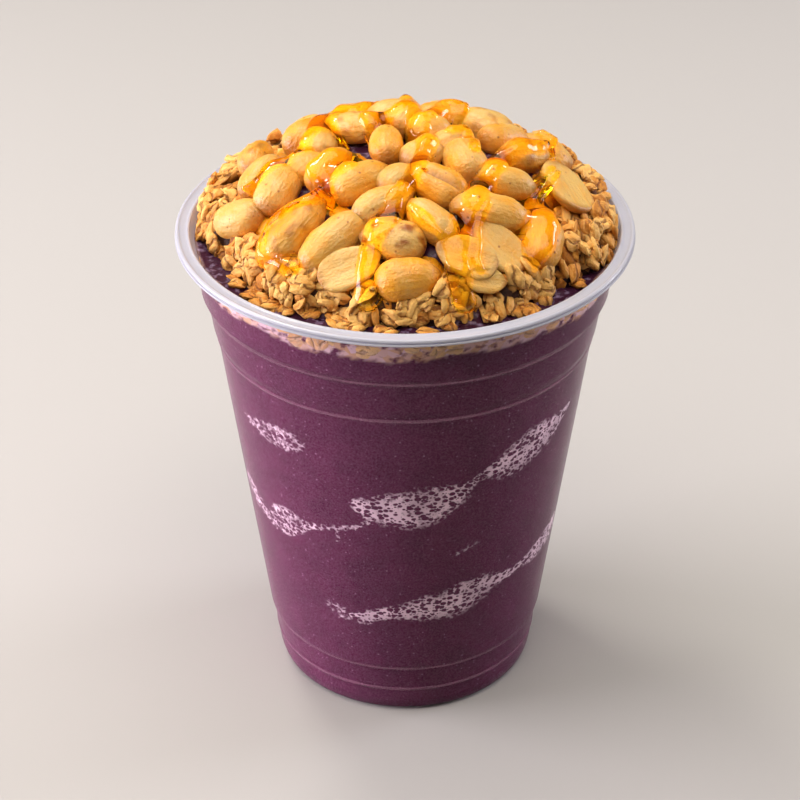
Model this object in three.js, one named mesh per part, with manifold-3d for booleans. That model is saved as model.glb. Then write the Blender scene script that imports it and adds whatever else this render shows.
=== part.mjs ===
// A clear takeaway cup of frozen acai, topped with an oat granola layer, a mound of
// blanched peanuts and a thick honey drizzle. Millimetres, +Z up, origin under the middle
// of the cup on the table. The side that is topped most neatly faces -Y.

import * as THREE from 'three';
import { mergeVertices } from 'three/addons/utils/BufferGeometryUtils.js';
import Module from 'manifold-3d';

const wasm = await Module();
wasm.setup();

// ---- driving dimensions -------------------------------------------------------------

const COLUMNS = 32; // facets round the cup and everything turned that fills it
const BED_COLUMNS = 12; // facets round the bed that the peanuts hide
const WALL = 0.6; // cup wall, measured level
const GAP = 0.3; // kept between pieces that touch

// The cup's outer wall as [radius, height], from the foot ring up to under the rim.
const OUTER_WALL = [
  [26.8, 0], [28.2, 0.9], [28.8, 3.0], [29.0, 6.2], [29.25, 7.3], [29.8, 12.7], [30.58, 14.3],
  [39.74, 83.8], [40.54, 86.2], [41.52, 93.0], [42.77, 95.1], [43.85, 104.9],
];
const RIM_TOP = 107.4;
const RIM_RADIUS = 47.5;
const RIM_HEIGHT = 2.3; // from the curl's underside to the rim's top
const MOUTH_RADIUS = 44.4;
const FOOT_INNER = 23.2; // the flat foot ring runs from here to the wall's first point
const KICK_UP = 1.6; // how far the underside is raised inside the foot ring
const KICK_SLOPE = 1.7; // level width of the ring's sloping inner side
const FLOOR_TOP = 2.4;
const FLOOR_DISH = 0.6; // the floor's edge rises this much into the wall

// The mound over the rim.
const LEVEL = 105.0; // acai level that shows in front of the granola
const ACAI_RIPPLE = 0.25; // how far that surface rises and falls
const CRESCENT_INNER = 39.0; // radius where the acai starts to rise under the granola
const HUMP_RADIUS = 30.0; // radius and rise of the hump it is scooped into there
const HUMP_RISE = 8.0;
const MOUND_RISE = 23.0;
const MOUND_REACH = 45.0; // where the mound would meet LEVEL at the sides and back
const FRONT_PULL = 4.0; // how much shorter it reaches in front
const MOUND_LEAN = 2.0; // the crown stands this far towards +X
const MOUND_FULLNESS = 0.6;

// Layers of the mound, measured down from its outer surface.
const GRANOLA_DEPTH = 1.5; // open granola round the peanuts
const UNDER_PEANUTS = 7.4; // how much deeper the granola lies where peanuts cover it
const GRANOLA_THICKNESS = 3.4;
const PEANUT_BED = 4.0; // top of the packed peanuts between those that show
const BED_GAP = 0.7; // underside of the packed peanuts above the granola
const BED_REACH = 0.76; // share of the reach that they fill
const SHELF_START = 0.84; // share of the reach where the granola starts to rise
const SHELF_END = 0.95;
const FOOT_SHARE = 0.985; // where the open granola meets the acai in front
const INNER_SHARES = [0, 0.35, 0.62]; // rings that shape the layers under the peanuts
const FOOT_CLEAR = 0.8; // the open granola's foot keeps this off the contents' edge
const SHOULDER_CLEAR = 1.6; // and its shoulder this
const BAND_BOTTOM = 101.0; // granola pressed on the wall: its lower edge
const BAND_TOP = 103.9; // and its upper edge in front, under a little acai
const BAND_RAGGED = 0.9;
const BAND_INNER = 39.6; // radius at which the band's underside meets the layer's
const BAND_RISE = 1.6; // how far that is above the band's lower edge
const BAND_FALL = 0.6; // slope at which the grown band's underside runs on past the bare one's
const TOOTH_GAP = 3; // every third column of the front band is left open
const TOOTH_STEP = 0.9; // how far the layer's foot steps back over such a gap

// Peanut sizes: length, width, thickness; a half lies with its cut face outwards.
const PEANUTS = {
  long: { size: [17.0, 8.4, 7.6], half: false },
  whole: { size: [13.0, 8.6, 7.6], half: false },
  slim: { size: [13.0, 7.0, 6.6], half: false },
  short: { size: [9.5, 7.2, 6.6], half: false },
  half: { size: [12.5, 8.4, 4.6], half: true },
  broad: { size: [14.5, 10.2, 5.0], half: true },
  chip: { size: [8.2, 5.6, 4.0], half: true },
};

// Where each peanut of the open side lies: x, y, turn of its length from +X in degrees,
// kind, and how far it stands proud of the mound's surface.
const PEANUT_PLACES = [
  [-33.5, -9, 145, 'whole', -0.5], [-25.5, -7, 68, 'whole', 0.3], [-31, 11, 80, 'slim', 0.8],
  [-29.5, 1, 60, 'slim', 0], [-20.5, 13.5, 62, 'whole', 0.7], [-17.5, 5, 77, 'short', 0],
  [-10.8, 10.5, 150, 'slim', 0.8], [-11.5, 18, 5, 'whole', 0], [-2, 16, 15, 'whole', 2],
  [0, 11, 50, 'short', 0.8], [-3.8, 0.5, 92, 'slim', 0.3], [-20, -2, 29, 'short', -0.5],
  [-15.5, -6, 60, 'slim', 0.3], [-9, -11.5, 29, 'whole', 0.3], [-4.5, -19, 25, 'slim', 0.2],
  [-1.8, -12, 45, 'short', -0.5], [-22, -20.5, 40, 'long', 0.2], [-14, -24.5, 35, 'long', -0.5],
  [-2.2, -26.8, 168, 'whole', 0], [-11, -31.8, 8, 'half', 0], [0.2, -33.8, 6, 'whole', 0.2],
  [12.2, -30, 172, 'half', 0], [15.5, -33, 8, 'chip', 0], [18.6, -26.2, 148, 'half', -0.4],
  [16.8, -18.6, 4, 'long', 0.1], [5.2, -23, 136, 'slim', -0.2], [6.5, -13.5, 149, 'whole', 0.3],
  [12, -4.8, 108, 'whole', 0.3], [3.4, -4, 30, 'short', 0.2], [8, 17, 5, 'slim', 1.2],
  [16.5, 15.5, 150, 'whole', 0.8], [20.3, 9, 35, 'slim', 0.2], [24.5, 3, 35, 'slim', 0],
  [20, -10, 8, 'slim', 0.3], [33.7, -2.6, 115, 'broad', 0.3], [27, -21, 75, 'whole', 0.2],
  [5, 7, 31, 'short', 0.3], [9.5, 2.5, 32, 'short', -0.5],
];
const SUNFLOWER_SEATS = 90; // seats tried for the peanuts that fill the rest of the mound
const PEANUT_REACH = 0.84; // share of the reach that peanuts cover
const PEANUT_SPACING = 8.4;

// Honey strands as [x, y] points on the mound, and the strand's radius.
const HONEY_RADIUS = 1.9;
const HONEY_SIDES = 4;
const HONEY_SINK = 0.9; // strand centre below the mound's surface
const HONEY_STRANDS = [
  [[-9, 18], [-16, 14], [-21, 8], [-25, 1], [-29, -3]],
  [[-10, -7], [-15, -11], [-18, -16], [-23, -19], [-27, -23], [-25, -28]],
  [[0, 3], [2, -5], [2, -10], [0, -17], [-2, -24], [-6, -29], [-8, -33]],
  [[-5, 9], [1, 12], [5, 8], [9, 15], [14, 14]],
  [[9, 4], [14, 5], [17, -3], [18, -12], [15, -20], [13, -27], [11, -33]],
  [[23, 3], [28, 8], [31, 12]],
  [[30, 1], [29.5, -8], [28.5, -17], [27, -24], [26, -28]],
];

// Oat flakes fused on the granola.
const FLAKE_COUNT = 58;
const FLAKE_ATTEMPTS = 20; // tries for each before its place is left bare
const FLAKE_SIZE = [6.0, 4.6, 1.7]; // length, width, thickness before each one's own scale
const FLAKE_LIFT = 0.35; // middle of a flake above the granola it lies on
const FLAKE_STRAY = 1.8; // radians that a flake's length may stray from the ring's direction
const FLAKE_TILT = 0.9; // radians between its steepest lean to either side
const FLAKE_HOLD = 0.8; // cubic millimetres sunk in the granola
const GOLDEN_ANGLE = Math.PI * (3 - Math.sqrt(5));

// ---- helpers ------------------------------------------------------------------------

/** Seeded draw between 0 and 1. */
function randomFrom(seed) {
  let state = seed;
  return () => {
    state = (Math.imul(state, 1664525) + 1013904223) >>> 0;
    return state / 4294967296;
  };
}

const clamp = THREE.MathUtils.clamp;
const smooth = (value, low, high) => THREE.MathUtils.smoothstep(value, low, high);

/** The radius of a [radius, height] profile at a height, in straight pieces. */
function radiusAt(profile, height) {
  const next = profile.findIndex(([, z]) => z >= height);
  if (next === 0) return profile[0][0];
  if (next < 0) return profile[profile.length - 1][0];
  const [r0, z0] = profile[next - 1];
  const [r1, z1] = profile[next];
  return r0 + ((r1 - r0) * (height - z0)) / (z1 - z0);
}

/** How far the contents may reach at a height: the outer wall less the wall and the gap. */
const contentRadius = (height) => radiusAt(OUTER_WALL, height) - WALL - GAP;

/**
 * A turned solid whose [radius, height] profile may differ at each azimuth.
 * Each profile starts and ends on the axis and runs anticlockwise seen from +azimuth.
 */
function turned(profileAt, columns = COLUMNS) {
  const first = profileAt(0, 0);
  const outline = first.map(([r, z]) => new THREE.Vector2(r, z));
  const geometry = new THREE.LatheGeometry(outline, columns);
  const place = geometry.attributes.position;
  for (let column = 0; column <= columns; column += 1) {
    const turn = column % columns;
    const azimuth = (turn / columns) * Math.PI * 2;
    profileAt(azimuth, turn).forEach(([r, z], row) => {
      place.setXYZ(column * first.length + row, r * Math.cos(azimuth), r * Math.sin(azimuth), z);
    });
  }
  return geometry;
}

/** A closed geometry as a manifold solid, without the triangles that fold up at the poles. */
function solidOf(geometry) {
  const bare = geometry.clone();
  bare.deleteAttribute('normal');
  bare.deleteAttribute('uv');
  const merged = mergeVertices(bare, 1e-4);
  const corners = [];
  const index = merged.index.array;
  for (let i = 0; i < index.length; i += 3) {
    const [a, b, c] = [index[i], index[i + 1], index[i + 2]];
    if (a !== b && b !== c && c !== a) corners.push(a, b, c);
  }
  return new wasm.Manifold(new wasm.Mesh({
    numProp: 3,
    vertProperties: new Float32Array(merged.attributes.position.array),
    triVerts: new Uint32Array(corners),
  }));
}

/** A manifold solid as a three.js geometry. */
function geometryOf(solid) {
  const mesh = solid.getMesh();
  const geometry = new THREE.BufferGeometry();
  geometry.setAttribute('position', new THREE.BufferAttribute(new Float32Array(mesh.vertProperties), 3));
  geometry.setIndex(new THREE.BufferAttribute(new Uint32Array(mesh.triVerts), 1));
  geometry.computeVertexNormals();
  return geometry;
}

/** The largest body of a solid, leaving loose scraps out. */
function largestBody(solid) {
  return solid.decompose().reduce((best, body) => (body.volume() > best.volume() ? body : best));
}

// ---- the mound's surfaces -----------------------------------------------------------

/** Distance from the axis at which the mound comes down to the acai's level. */
function reachAt(azimuth) {
  const front = (1 - Math.sin(azimuth)) / 2;
  return MOUND_REACH - FRONT_PULL * front * front;
}

/** Height of the mound's outer surface over a point. */
function moundTop(x, y) {
  const reach = reachAt(Math.atan2(y, x));
  const inward = clamp(1 - (x * x + y * y) / (reach * reach), 0, 1);
  const share = ((x - MOUND_LEAN * inward) ** 2 + y * y) / (reach * reach);
  return LEVEL + MOUND_RISE * Math.max(0, 1 - share) ** MOUND_FULLNESS;
}

/** Height of the granola's surface: deeper where the peanuts lie on it. */
function granolaTop(x, y) {
  const share = Math.hypot(x, y) / reachAt(Math.atan2(y, x));
  const covered = 1 - smooth(share, SHELF_START, SHELF_END);
  return moundTop(x, y) - GRANOLA_DEPTH - UNDER_PEANUTS * covered;
}

/** Place and axes on the mound for a piece whose length is turned from +X. */
function stance(x, y, turn, height) {
  const step = 0.05;
  const slopeX = (moundTop(x + step, y) - moundTop(x - step, y)) / (2 * step);
  const slopeY = (moundTop(x, y + step) - moundTop(x, y - step)) / (2 * step);
  const out = new THREE.Vector3(-slopeX, -slopeY, 1).normalize();
  const along = new THREE.Vector3(Math.cos(turn), Math.sin(turn), 0);
  along.z = slopeX * along.x + slopeY * along.y;
  along.normalize();
  const across = new THREE.Vector3().crossVectors(out, along);
  const origin = new THREE.Vector3(x, y, height);
  return new THREE.Matrix4().makeBasis(along, across, out).setPosition(origin);
}

// ---- cup ----------------------------------------------------------------------------

/** The floor's outline from the axis out, set in from the outer wall and lifted. */
function floorOutline(inset, lift) {
  const [[foot], [heel]] = OUTER_WALL;
  const floor = FLOOR_TOP + lift;
  return [[0, floor], [foot - inset, floor], [heel - inset, floor + FLOOR_DISH]];
}

/** The thermoformed cup: stepped wall, kicked-up base, rolled rim with a groove. */
function cupGeometry() {
  const underside = [[0, KICK_UP], [FOOT_INNER - KICK_SLOPE, KICK_UP], [FOOT_INNER, 0]];
  const curl = RIM_TOP - RIM_HEIGHT;
  const rim = [
    [RIM_RADIUS - 1.5, curl], [RIM_RADIUS - 0.4, curl + 0.2], [RIM_RADIUS, curl + 0.7],
    [RIM_RADIUS - 0.25, curl + 1.2], [RIM_RADIUS, curl + 1.7], [RIM_RADIUS - 0.7, RIM_TOP],
    [MOUTH_RADIUS + 0.7, RIM_TOP], [MOUTH_RADIUS, RIM_TOP - 0.4],
  ];
  const inside = OUTER_WALL.slice(3).reverse().map(([r, z]) => [r - WALL, z]);
  const profile = [...underside, ...OUTER_WALL, ...rim, ...inside, ...floorOutline(WALL, 0).reverse()];
  return turned(() => profile);
}

// ---- granola ------------------------------------------------------------------------

/** True where the front band leaves a gap that the acai rises through. */
function bandIsOpen(azimuth, column) {
  const inFront = reachAt(azimuth) < contentRadius(LEVEL);
  return inFront && column % TOOTH_GAP === 0;
}

/** The open granola's outline as [radius, height]: its foot, its shoulder, the first peanuts. */
function openGranola(azimuth) {
  const reach = reachAt(azimuth);
  const heightAt = (r) => granolaTop(r * Math.cos(azimuth), r * Math.sin(azimuth));
  const foot = Math.min(reach * FOOT_SHARE, contentRadius(LEVEL) - FOOT_CLEAR);
  const shoulder = Math.min(SHELF_END * reach, contentRadius(LEVEL) - SHOULDER_CLEAR);
  const inner = SHELF_START * reach;
  const high = Math.max(BAND_TOP, heightAt(contentRadius(BAND_BOTTOM)));
  return [[foot, high], [shoulder, heightAt(shoulder)], [inner, heightAt(inner)]];
}

/** The granola layer's profile at an azimuth, grown all round by a margin. */
function granolaProfile(azimuth, column, grow, top) {
  const reach = reachAt(azimuth);
  const at = (r, lift) => [r, granolaTop(r * Math.cos(azimuth), r * Math.sin(azimuth)) + lift];
  const under = (share) => at(share * reach, -GRANOLA_THICKNESS - grow);
  const over = (share) => at(share * reach, grow + top);
  const [[bareFoot, bareHigh], [shoulder]] = openGranola(azimuth);
  const [foot, high] = [bareFoot + grow, bareHigh + grow];
  const wave = BAND_RAGGED * Math.sin(column * 2.3) * Math.cos(column * 1.1);
  const low = BAND_BOTTOM + wave - grow;
  const open = bandIsOpen(azimuth, column);
  const inset = open ? bareFoot - WALL : contentRadius(BAND_BOTTOM);
  const edge = open ? inset + grow : inset + 4 * grow;
  const bandInner = Math.min(0.93 * reach, BAND_INNER);
  const fall = BAND_FALL * (edge - inset);
  const toe = foot - (open ? TOOTH_STEP : 0);
  return [
    ...INNER_SHARES.map(under), under(SHELF_START), [bandInner, low + BAND_RISE],
    [edge, low - fall], [edge, high], [toe, high + 0.2], [toe - 0.1, high + 0.4 + top],
    at(shoulder, grow + top), over(SHELF_START), ...INNER_SHARES.map(over).reverse(),
  ];
}

/** The granola layer without its flakes. */
const granolaCore = (grow = 0, top = 0) => solidOf(
  turned((azimuth, column) => granolaProfile(azimuth, column, grow, top)),
);

/** One oat flake: a thin six-sided lozenge, curled along its length. */
function flakeGeometry(draw) {
  const [length, width, thickness] = FLAKE_SIZE.map((size) => size * (0.8 + 0.45 * draw()));
  const curl = 0.5 + 0.9 * draw();
  const flake = new THREE.SphereGeometry(1, 5, 3);
  flake.rotateX(Math.PI / 2);
  const place = flake.attributes.position;
  for (let i = 0; i < place.count; i += 1) {
    const [x, y, z] = [place.getX(i), place.getY(i), place.getZ(i)];
    place.setXYZ(i, (x * length) / 2, (y * width) / 2, (z * thickness) / 2 + curl * y * y);
  }
  return flake;
}

/** A flake laid on the open granola at an azimuth, its length roughly along the ring. */
function laidFlake(azimuth, draw) {
  const outline = openGranola(azimuth).map(([r, z]) => new THREE.Vector3(r, 0, z));
  const way = draw() * (outline.length - 1);
  const segment = Math.floor(way);
  const [from, to] = [outline[segment], outline[segment + 1]];
  const upward = to.clone().sub(from).normalize();
  const around = new THREE.Vector3(0, 1, 0);
  const out = new THREE.Vector3().crossVectors(around, upward);
  const place = from.clone().lerp(to, way - segment).addScaledVector(out, FLAKE_LIFT);
  const flake = flakeGeometry(draw);
  flake.rotateX((draw() - 0.5) * FLAKE_TILT);
  flake.rotateY((draw() - 0.5) * FLAKE_TILT);
  flake.rotateZ((draw() - 0.5) * FLAKE_STRAY);
  flake.applyMatrix4(new THREE.Matrix4().makeBasis(around, upward, out).setPosition(place));
  flake.rotateZ(azimuth);
  return solidOf(flake);
}

/** Spreads flakes evenly round the open granola, each where it fits clear of the others. */
function addFlakes(core, others) {
  const draw = randomFrom(20417);
  const acaiLevel = LEVEL + ACAI_RIPPLE + GAP;
  const around = 2 * RIM_RADIUS;
  const covered = solidOf(turned(() => [[0, 0], [around, 0], [around, acaiLevel], [0, acaiLevel]]));
  let granola = core;
  for (let place = 0; place < FLAKE_COUNT; place += 1) {
    for (let attempt = 0; attempt < FLAKE_ATTEMPTS; attempt += 1) {
      const flake = laidFlake(place * GOLDEN_ANGLE, draw).subtract(covered);
      const clear = others.every((other) => other.minGap(flake, GAP) >= GAP * 0.8);
      if (!clear || core.intersect(flake).volume() < FLAKE_HOLD) continue;
      granola = granola.add(flake);
      break;
    }
  }
  return granola;
}

// ---- peanuts and honey --------------------------------------------------------------

/** One blanched peanut along +X: a blunt egg, or its flat-faced half. */
function peanutGeometry(kind) {
  const { size: [length, width, thickness], half } = PEANUTS[kind];
  const peanut = new THREE.SphereGeometry(1, 6, 5);
  peanut.rotateZ(Math.PI / 2);
  const place = peanut.attributes.position;
  for (let i = 0; i < place.count; i += 1) {
    const [x, y, z] = [place.getX(i), place.getY(i), place.getZ(i)];
    const blunt = 1 + 0.12 * (1 - x * x);
    const taper = (1 - 0.1 * x) * blunt;
    const face = half ? Math.min(z, 0.25) : z;
    place.setXYZ(i, (x * length) / 2, (y * width * taper) / 2, (face * thickness * taper) / 2);
  }
  return peanut;
}

/** Every peanut's place: those of the open side, then a sunflower spread over the rest. */
function peanutPlaces() {
  const places = [...PEANUT_PLACES];
  const draw = randomFrom(907);
  const kinds = ['whole', 'slim', 'long', 'whole', 'short'];
  for (let i = 0; i < SUNFLOWER_SEATS; i += 1) {
    const azimuth = i * GOLDEN_ANGLE;
    const r = reachAt(azimuth) * PEANUT_REACH * Math.sqrt((i + 0.5) / SUNFLOWER_SEATS);
    const [x, y] = [r * Math.cos(azimuth), r * Math.sin(azimuth)];
    const free = places.every(([px, py]) => Math.hypot(px - x, py - y) > PEANUT_SPACING);
    if (free && y > 0) places.push([x, y, draw() * 180, kinds[i % kinds.length], 0.6 * draw()]);
  }
  return places;
}

/** The packed bed under the peanuts that show. */
function peanutBed() {
  return solidOf(turned((azimuth) => {
    const reach = reachAt(azimuth);
    const at = (share, height) => {
      const r = share * reach;
      return [r, height(r * Math.cos(azimuth), r * Math.sin(azimuth))];
    };
    const under = (share) => at(share, (x, y) => granolaTop(x, y) + BED_GAP);
    const over = (share) => at(share, (x, y) => moundTop(x, y) - PEANUT_BED);
    const shares = [...INNER_SHARES, BED_REACH];
    return [...shares.map(under), ...shares.map(over).reverse()];
  }, BED_COLUMNS));
}

/** One honey strand: a round thread sunk halfway into what it lies on. */
function honeyStrand(points) {
  const path = new THREE.CatmullRomCurve3(
    points.map(([x, y]) => new THREE.Vector3(x, y, moundTop(x, y) - HONEY_SINK)),
  );
  const round = new THREE.Path().absarc(0, 0, HONEY_RADIUS, 0, Math.PI * 2);
  const section = new THREE.Shape(round.getPoints(HONEY_SIDES));
  return new THREE.ExtrudeGeometry(section, {
    steps: points.length,
    extrudePath: path,
  });
}

// ---- the parts ----------------------------------------------------------------------

const cup = cupGeometry();

const grownGranola = granolaCore(GAP);
let peanuts = peanutBed();
for (const [x, y, turn, kind, proud] of peanutPlaces()) {
  const height = moundTop(x, y) + proud - PEANUTS[kind].size[2] / 2;
  const peanut = peanutGeometry(kind);
  peanut.applyMatrix4(stance(x, y, THREE.MathUtils.degToRad(turn), height));
  peanuts = peanuts.add(solidOf(peanut).subtract(grownGranola));
}
for (const points of HONEY_STRANDS) {
  peanuts = peanuts.add(solidOf(honeyStrand(points)).subtract(grownGranola));
}
peanuts = largestBody(peanuts);

/** The acai: fills the cup to its level and stands up under the granola. */
function acaiGeometry() {
  const wall = OUTER_WALL.slice(3).map(([r, z]) => [r - WALL - GAP, z]);
  const crown = LEVEL + MOUND_RISE - GRANOLA_DEPTH - UNDER_PEANUTS;
  const filled = solidOf(turned((azimuth, column) => {
    const icy = ACAI_RIPPLE * Math.sin(column * 2.7);
    return [
      ...floorOutline(WALL + GAP, GAP), ...wall, [contentRadius(LEVEL) - WALL, LEVEL + icy],
      [CRESCENT_INNER, LEVEL - icy], [HUMP_RADIUS, LEVEL + HUMP_RISE], [0, crown],
    ];
  }));
  return largestBody(filled.subtract(granolaCore(GAP, MOUND_RISE)));
}

const acai = acaiGeometry();
const cupSolid = solidOf(cup);
const granola = largestBody(addFlakes(granolaCore(), [peanuts, acai, cupSolid]));

// ---- the scene graph ----------------------------------------------------------------

/** A named mesh with its own material. */
function part(name, geometry, color, roughness, extra = {}) {
  const material = new THREE.MeshStandardMaterial({ color, roughness, metalness: 0, ...extra });
  const mesh = new THREE.Mesh(geometry, material);
  mesh.name = name;
  return mesh;
}

const acaiCup = new THREE.Group();
acaiCup.add(
  part('cup', cup, 0xe6e3ee, 0.25, { transparent: true, opacity: 0.35 }),
  part('acai', geometryOf(acai), 0x4a2238, 0.5),
  part('granola', geometryOf(granola), 0xc08a4a, 0.8),
  part('peanuts', geometryOf(peanuts), 0xecc27c, 0.45),
);

export default acaiCup;
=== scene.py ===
"""Looks of a clear takeaway cup of frozen acai with oat granola, peanuts and honey.

Shapes are worked out in millimetres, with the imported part's origin and axes, and put into
meshes in metres. The mound's formulas are those of the solids, so each piece lies where the
solid that it stands for lies.
"""

import logging
import math
from collections.abc import Callable, Iterator
from dataclasses import dataclass, field
from enum import Enum
from functools import partial
from typing import NamedTuple

import bpy
import numpy as np
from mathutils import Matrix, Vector


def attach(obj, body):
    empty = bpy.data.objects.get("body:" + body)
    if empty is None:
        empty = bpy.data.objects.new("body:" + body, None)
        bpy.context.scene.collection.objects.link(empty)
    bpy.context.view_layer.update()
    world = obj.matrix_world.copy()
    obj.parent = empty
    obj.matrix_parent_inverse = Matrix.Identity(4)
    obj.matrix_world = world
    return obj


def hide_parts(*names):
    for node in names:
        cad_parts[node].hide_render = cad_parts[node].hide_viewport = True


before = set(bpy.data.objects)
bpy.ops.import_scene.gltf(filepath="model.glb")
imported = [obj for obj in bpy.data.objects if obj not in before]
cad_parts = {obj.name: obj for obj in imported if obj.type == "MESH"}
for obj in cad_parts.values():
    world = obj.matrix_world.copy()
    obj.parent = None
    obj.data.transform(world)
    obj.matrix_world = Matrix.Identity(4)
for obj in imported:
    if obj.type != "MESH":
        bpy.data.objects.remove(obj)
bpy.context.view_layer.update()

LOG = logging.getLogger("acai_cup")
MM = 0.001
TURN = 2 * math.pi
GOLDEN_ANGLE = math.pi * (3 - math.sqrt(5))
Array = np.ndarray
Level = Callable[[Array], Array]  # for places, a measure that is below 0 within a shape
Adder = Callable[..., bpy.types.Node]  # add_node for the tree of one material


# ---- shape helpers ------------------------------------------------------------------


def smooth(value: Array, low: float, high: float) -> Array:
    """Smoothstep: 0 up to low, 1 from high on, and 3t^2 - 2t^3 between them."""
    t = np.clip((value - low) / (high - low), 0, 1)
    return t * t * (3 - 2 * t)


def circle(count: int) -> Array:
    """Angles of points that stand evenly round a circle, the first at 0."""
    return np.arange(count) * TURN / count


def waves(points: Array, size: float, seed: int, count: int = 14) -> Array:
    """Smooth seeded unevenness: the sum of plane waves of random direction and phase.

    Args:
        points: Places in mm, with x, y, z on the last axis.
        size: Typical wavelength in mm.
        seed: Which pattern.
        count: How many waves are summed.

    Returns:
        About -1 to 1 for each point.
    """
    draw = np.random.default_rng(seed)
    ways = draw.normal(size=(3, count))
    ways *= TURN / size * draw.uniform(0.7, 1.4, count) / np.linalg.norm(ways, axis=0)
    phases = draw.uniform(0, TURN, count)
    return np.sin(points @ ways + phases).sum(-1) * math.sqrt(0.5 / count)


def soften(profile: Array, reach: float, steps: int = 4) -> Array:
    """Rounds each inner corner of a profile by a quadratic Bezier curve.

    The curve's ends lie on the two edges, reach or 0.4 of the edge away from the corner,
    whichever is less, and the corner is its middle control point.

    Args:
        profile: Corners as rows of radius and height.
        reach: How far from a corner its rounding starts, in mm.
        steps: Pieces that each rounding is cut into.

    Returns:
        The rounded profile, its two ends unchanged.
    """
    corner = profile[1:-1]
    start, end = (
        corner + edge * np.minimum(reach / np.linalg.norm(edge, axis=1, keepdims=True), 0.4)
        for edge in (profile[:-2] - corner, profile[2:] - corner)
    )
    t = np.linspace(0, 1, steps + 1)[None, :, None]
    start, corner, end = start[:, None], corner[:, None], end[:, None]
    arcs = (1 - t) ** 2 * start + 2 * t * (1 - t) * corner + t**2 * end
    return np.concatenate([profile[:1], arcs.reshape(-1, 2), profile[-1:]])


def spread(profile: Array, count: int) -> Array:
    """Places points evenly along a polyline, by linear interpolation on its length.

    Args:
        profile: Corners, one a row.
        count: Points wanted.

    Returns:
        The points, with the first and last corner among them.
    """
    way = np.append(0, np.cumsum(np.linalg.norm(np.diff(profile, axis=0), axis=1)))
    at = np.linspace(0, way[-1], count)
    return np.stack([np.interp(at, way, column) for column in profile.T], axis=1)


def turned(radius: Array, height: Array, azimuth: Array) -> Array:
    """Points at radius and height turned to azimuth: x = r cos a, y = r sin a, z = height."""
    radius, height, azimuth = np.broadcast_arrays(radius, height, azimuth)
    return np.stack([radius * np.cos(azimuth), radius * np.sin(azimuth), height], axis=-1)


def upright(along: Array, out: Array) -> Array:
    """Square axes from two directions: out is kept, and along is laid at right angles to it.

    Args:
        along: Directions of the length.
        out: Directions of the thickness.

    Returns:
        Matrices with rows along, across and out, each of length 1.
    """
    out = out / np.linalg.norm(out, axis=-1, keepdims=True)
    along = along - out * (along * out).sum(axis=-1, keepdims=True)
    along = along / np.linalg.norm(along, axis=-1, keepdims=True)
    return np.stack([along, np.cross(out, along), out], axis=-2)


def laid(local: Array, middle: Array, axes: Array) -> Array:
    """Puts shapes in place: each point is its middle plus its own measures along its axes.

    Args:
        local: Points of each shape along, across and out from its middle.
        middle: Where each shape's middle lies.
        axes: Each shape's rows along, across and out.

    Returns:
        The places of all points.
    """
    return middle[:, None] + np.einsum("nvk,nkj->nvj", local, axes)


def grid_faces(rows: int, columns: int, closed_rows: bool = False) -> Array:
    """Quads of a grid whose columns wrap round, and whose rows may wrap too.

    Args:
        rows: Rows of points, numbered along the profile.
        columns: Points in each row.
        closed_rows: Whether the last row joins the first.

    Returns:
        Corner numbers, four a face, facing outwards for an anticlockwise profile.
    """
    row = np.arange(rows if closed_rows else rows - 1)[:, None]
    column = np.arange(columns)[None, :]
    beside = (column + 1) % columns
    near, far = row * columns, (row + 1) % rows * columns
    corners = [near + column, near + beside, far + beside, far + column]
    return np.stack(corners, axis=-1).reshape(-1, 4)


def capped_faces(rows: int, columns: int) -> list[Array]:
    """Faces of a wrapped grid closed by a pole at each end, numbered after the grid.

    Args:
        rows: Rows of points between the poles.
        columns: Points in each row.

    Returns:
        The quads, then the triangles round the two poles.
    """
    column = np.arange(columns)
    beside = (column + 1) % columns
    pole = np.full(columns, rows * columns)
    last = (rows - 1) * columns
    caps = [[pole, beside, column], [last + column, last + beside, pole + 1]]
    return [grid_faces(rows, columns), np.concatenate([np.stack(cap, axis=1) for cap in caps])]


def repeated(faces: list[Array], count: int, block: int) -> list[Array]:
    """The same faces for count shapes whose points follow each other in blocks."""
    shift = np.arange(count)[:, None, None] * block
    return [(group[None] + shift).reshape(-1, group.shape[1]) for group in faces]


def make_piece(
    name: str,
    points: Array,
    faces: list[Array],
    materials: list[bpy.types.Material],
    values: dict[str, Array] | None = None,
) -> bpy.types.Object:
    """Puts points and faces into a new smooth mesh object at the origin.

    Args:
        name: The piece's name.
        points: Places in mm.
        faces: Groups of corner numbers, each group with one number of corners a face.
        materials: What its faces may be dressed in, all in the first at the start.
        values: One or three numbers for each point, kept as attributes for the finishes.

    Returns:
        The new object, linked to the scene.
    """
    mesh = bpy.data.meshes.new(name)
    points = points.reshape(-1, 3)
    corners = np.concatenate([group.ravel() for group in faces]).astype(np.int32)
    sides = np.concatenate([np.full(len(group), group.shape[1]) for group in faces])
    starts = np.append(0, np.cumsum(sides)[:-1]).astype(np.int32)
    mesh.vertices.add(len(points))
    mesh.vertices.foreach_set("co", (points * MM).astype(np.float32).ravel())
    mesh.loops.add(len(corners))
    mesh.loops.foreach_set("vertex_index", corners)
    mesh.polygons.add(len(sides))
    mesh.polygons.foreach_set("loop_start", starts)
    mesh.polygons.foreach_set("use_smooth", np.ones(len(sides), dtype=bool))
    for value_name, numbers in (values or {}).items():
        single = np.size(numbers) == len(points)
        layer = mesh.attributes.new(value_name, "FLOAT" if single else "FLOAT_VECTOR", "POINT")
        numbers = np.ravel(numbers).astype(np.float32)
        layer.data.foreach_set("value" if single else "vector", numbers)
    for material in materials:
        mesh.materials.append(material)
    mesh.update(calc_edges=True)
    mesh.validate()
    piece = bpy.data.objects.new(name, mesh)
    bpy.context.scene.collection.objects.link(piece)
    return piece


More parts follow.
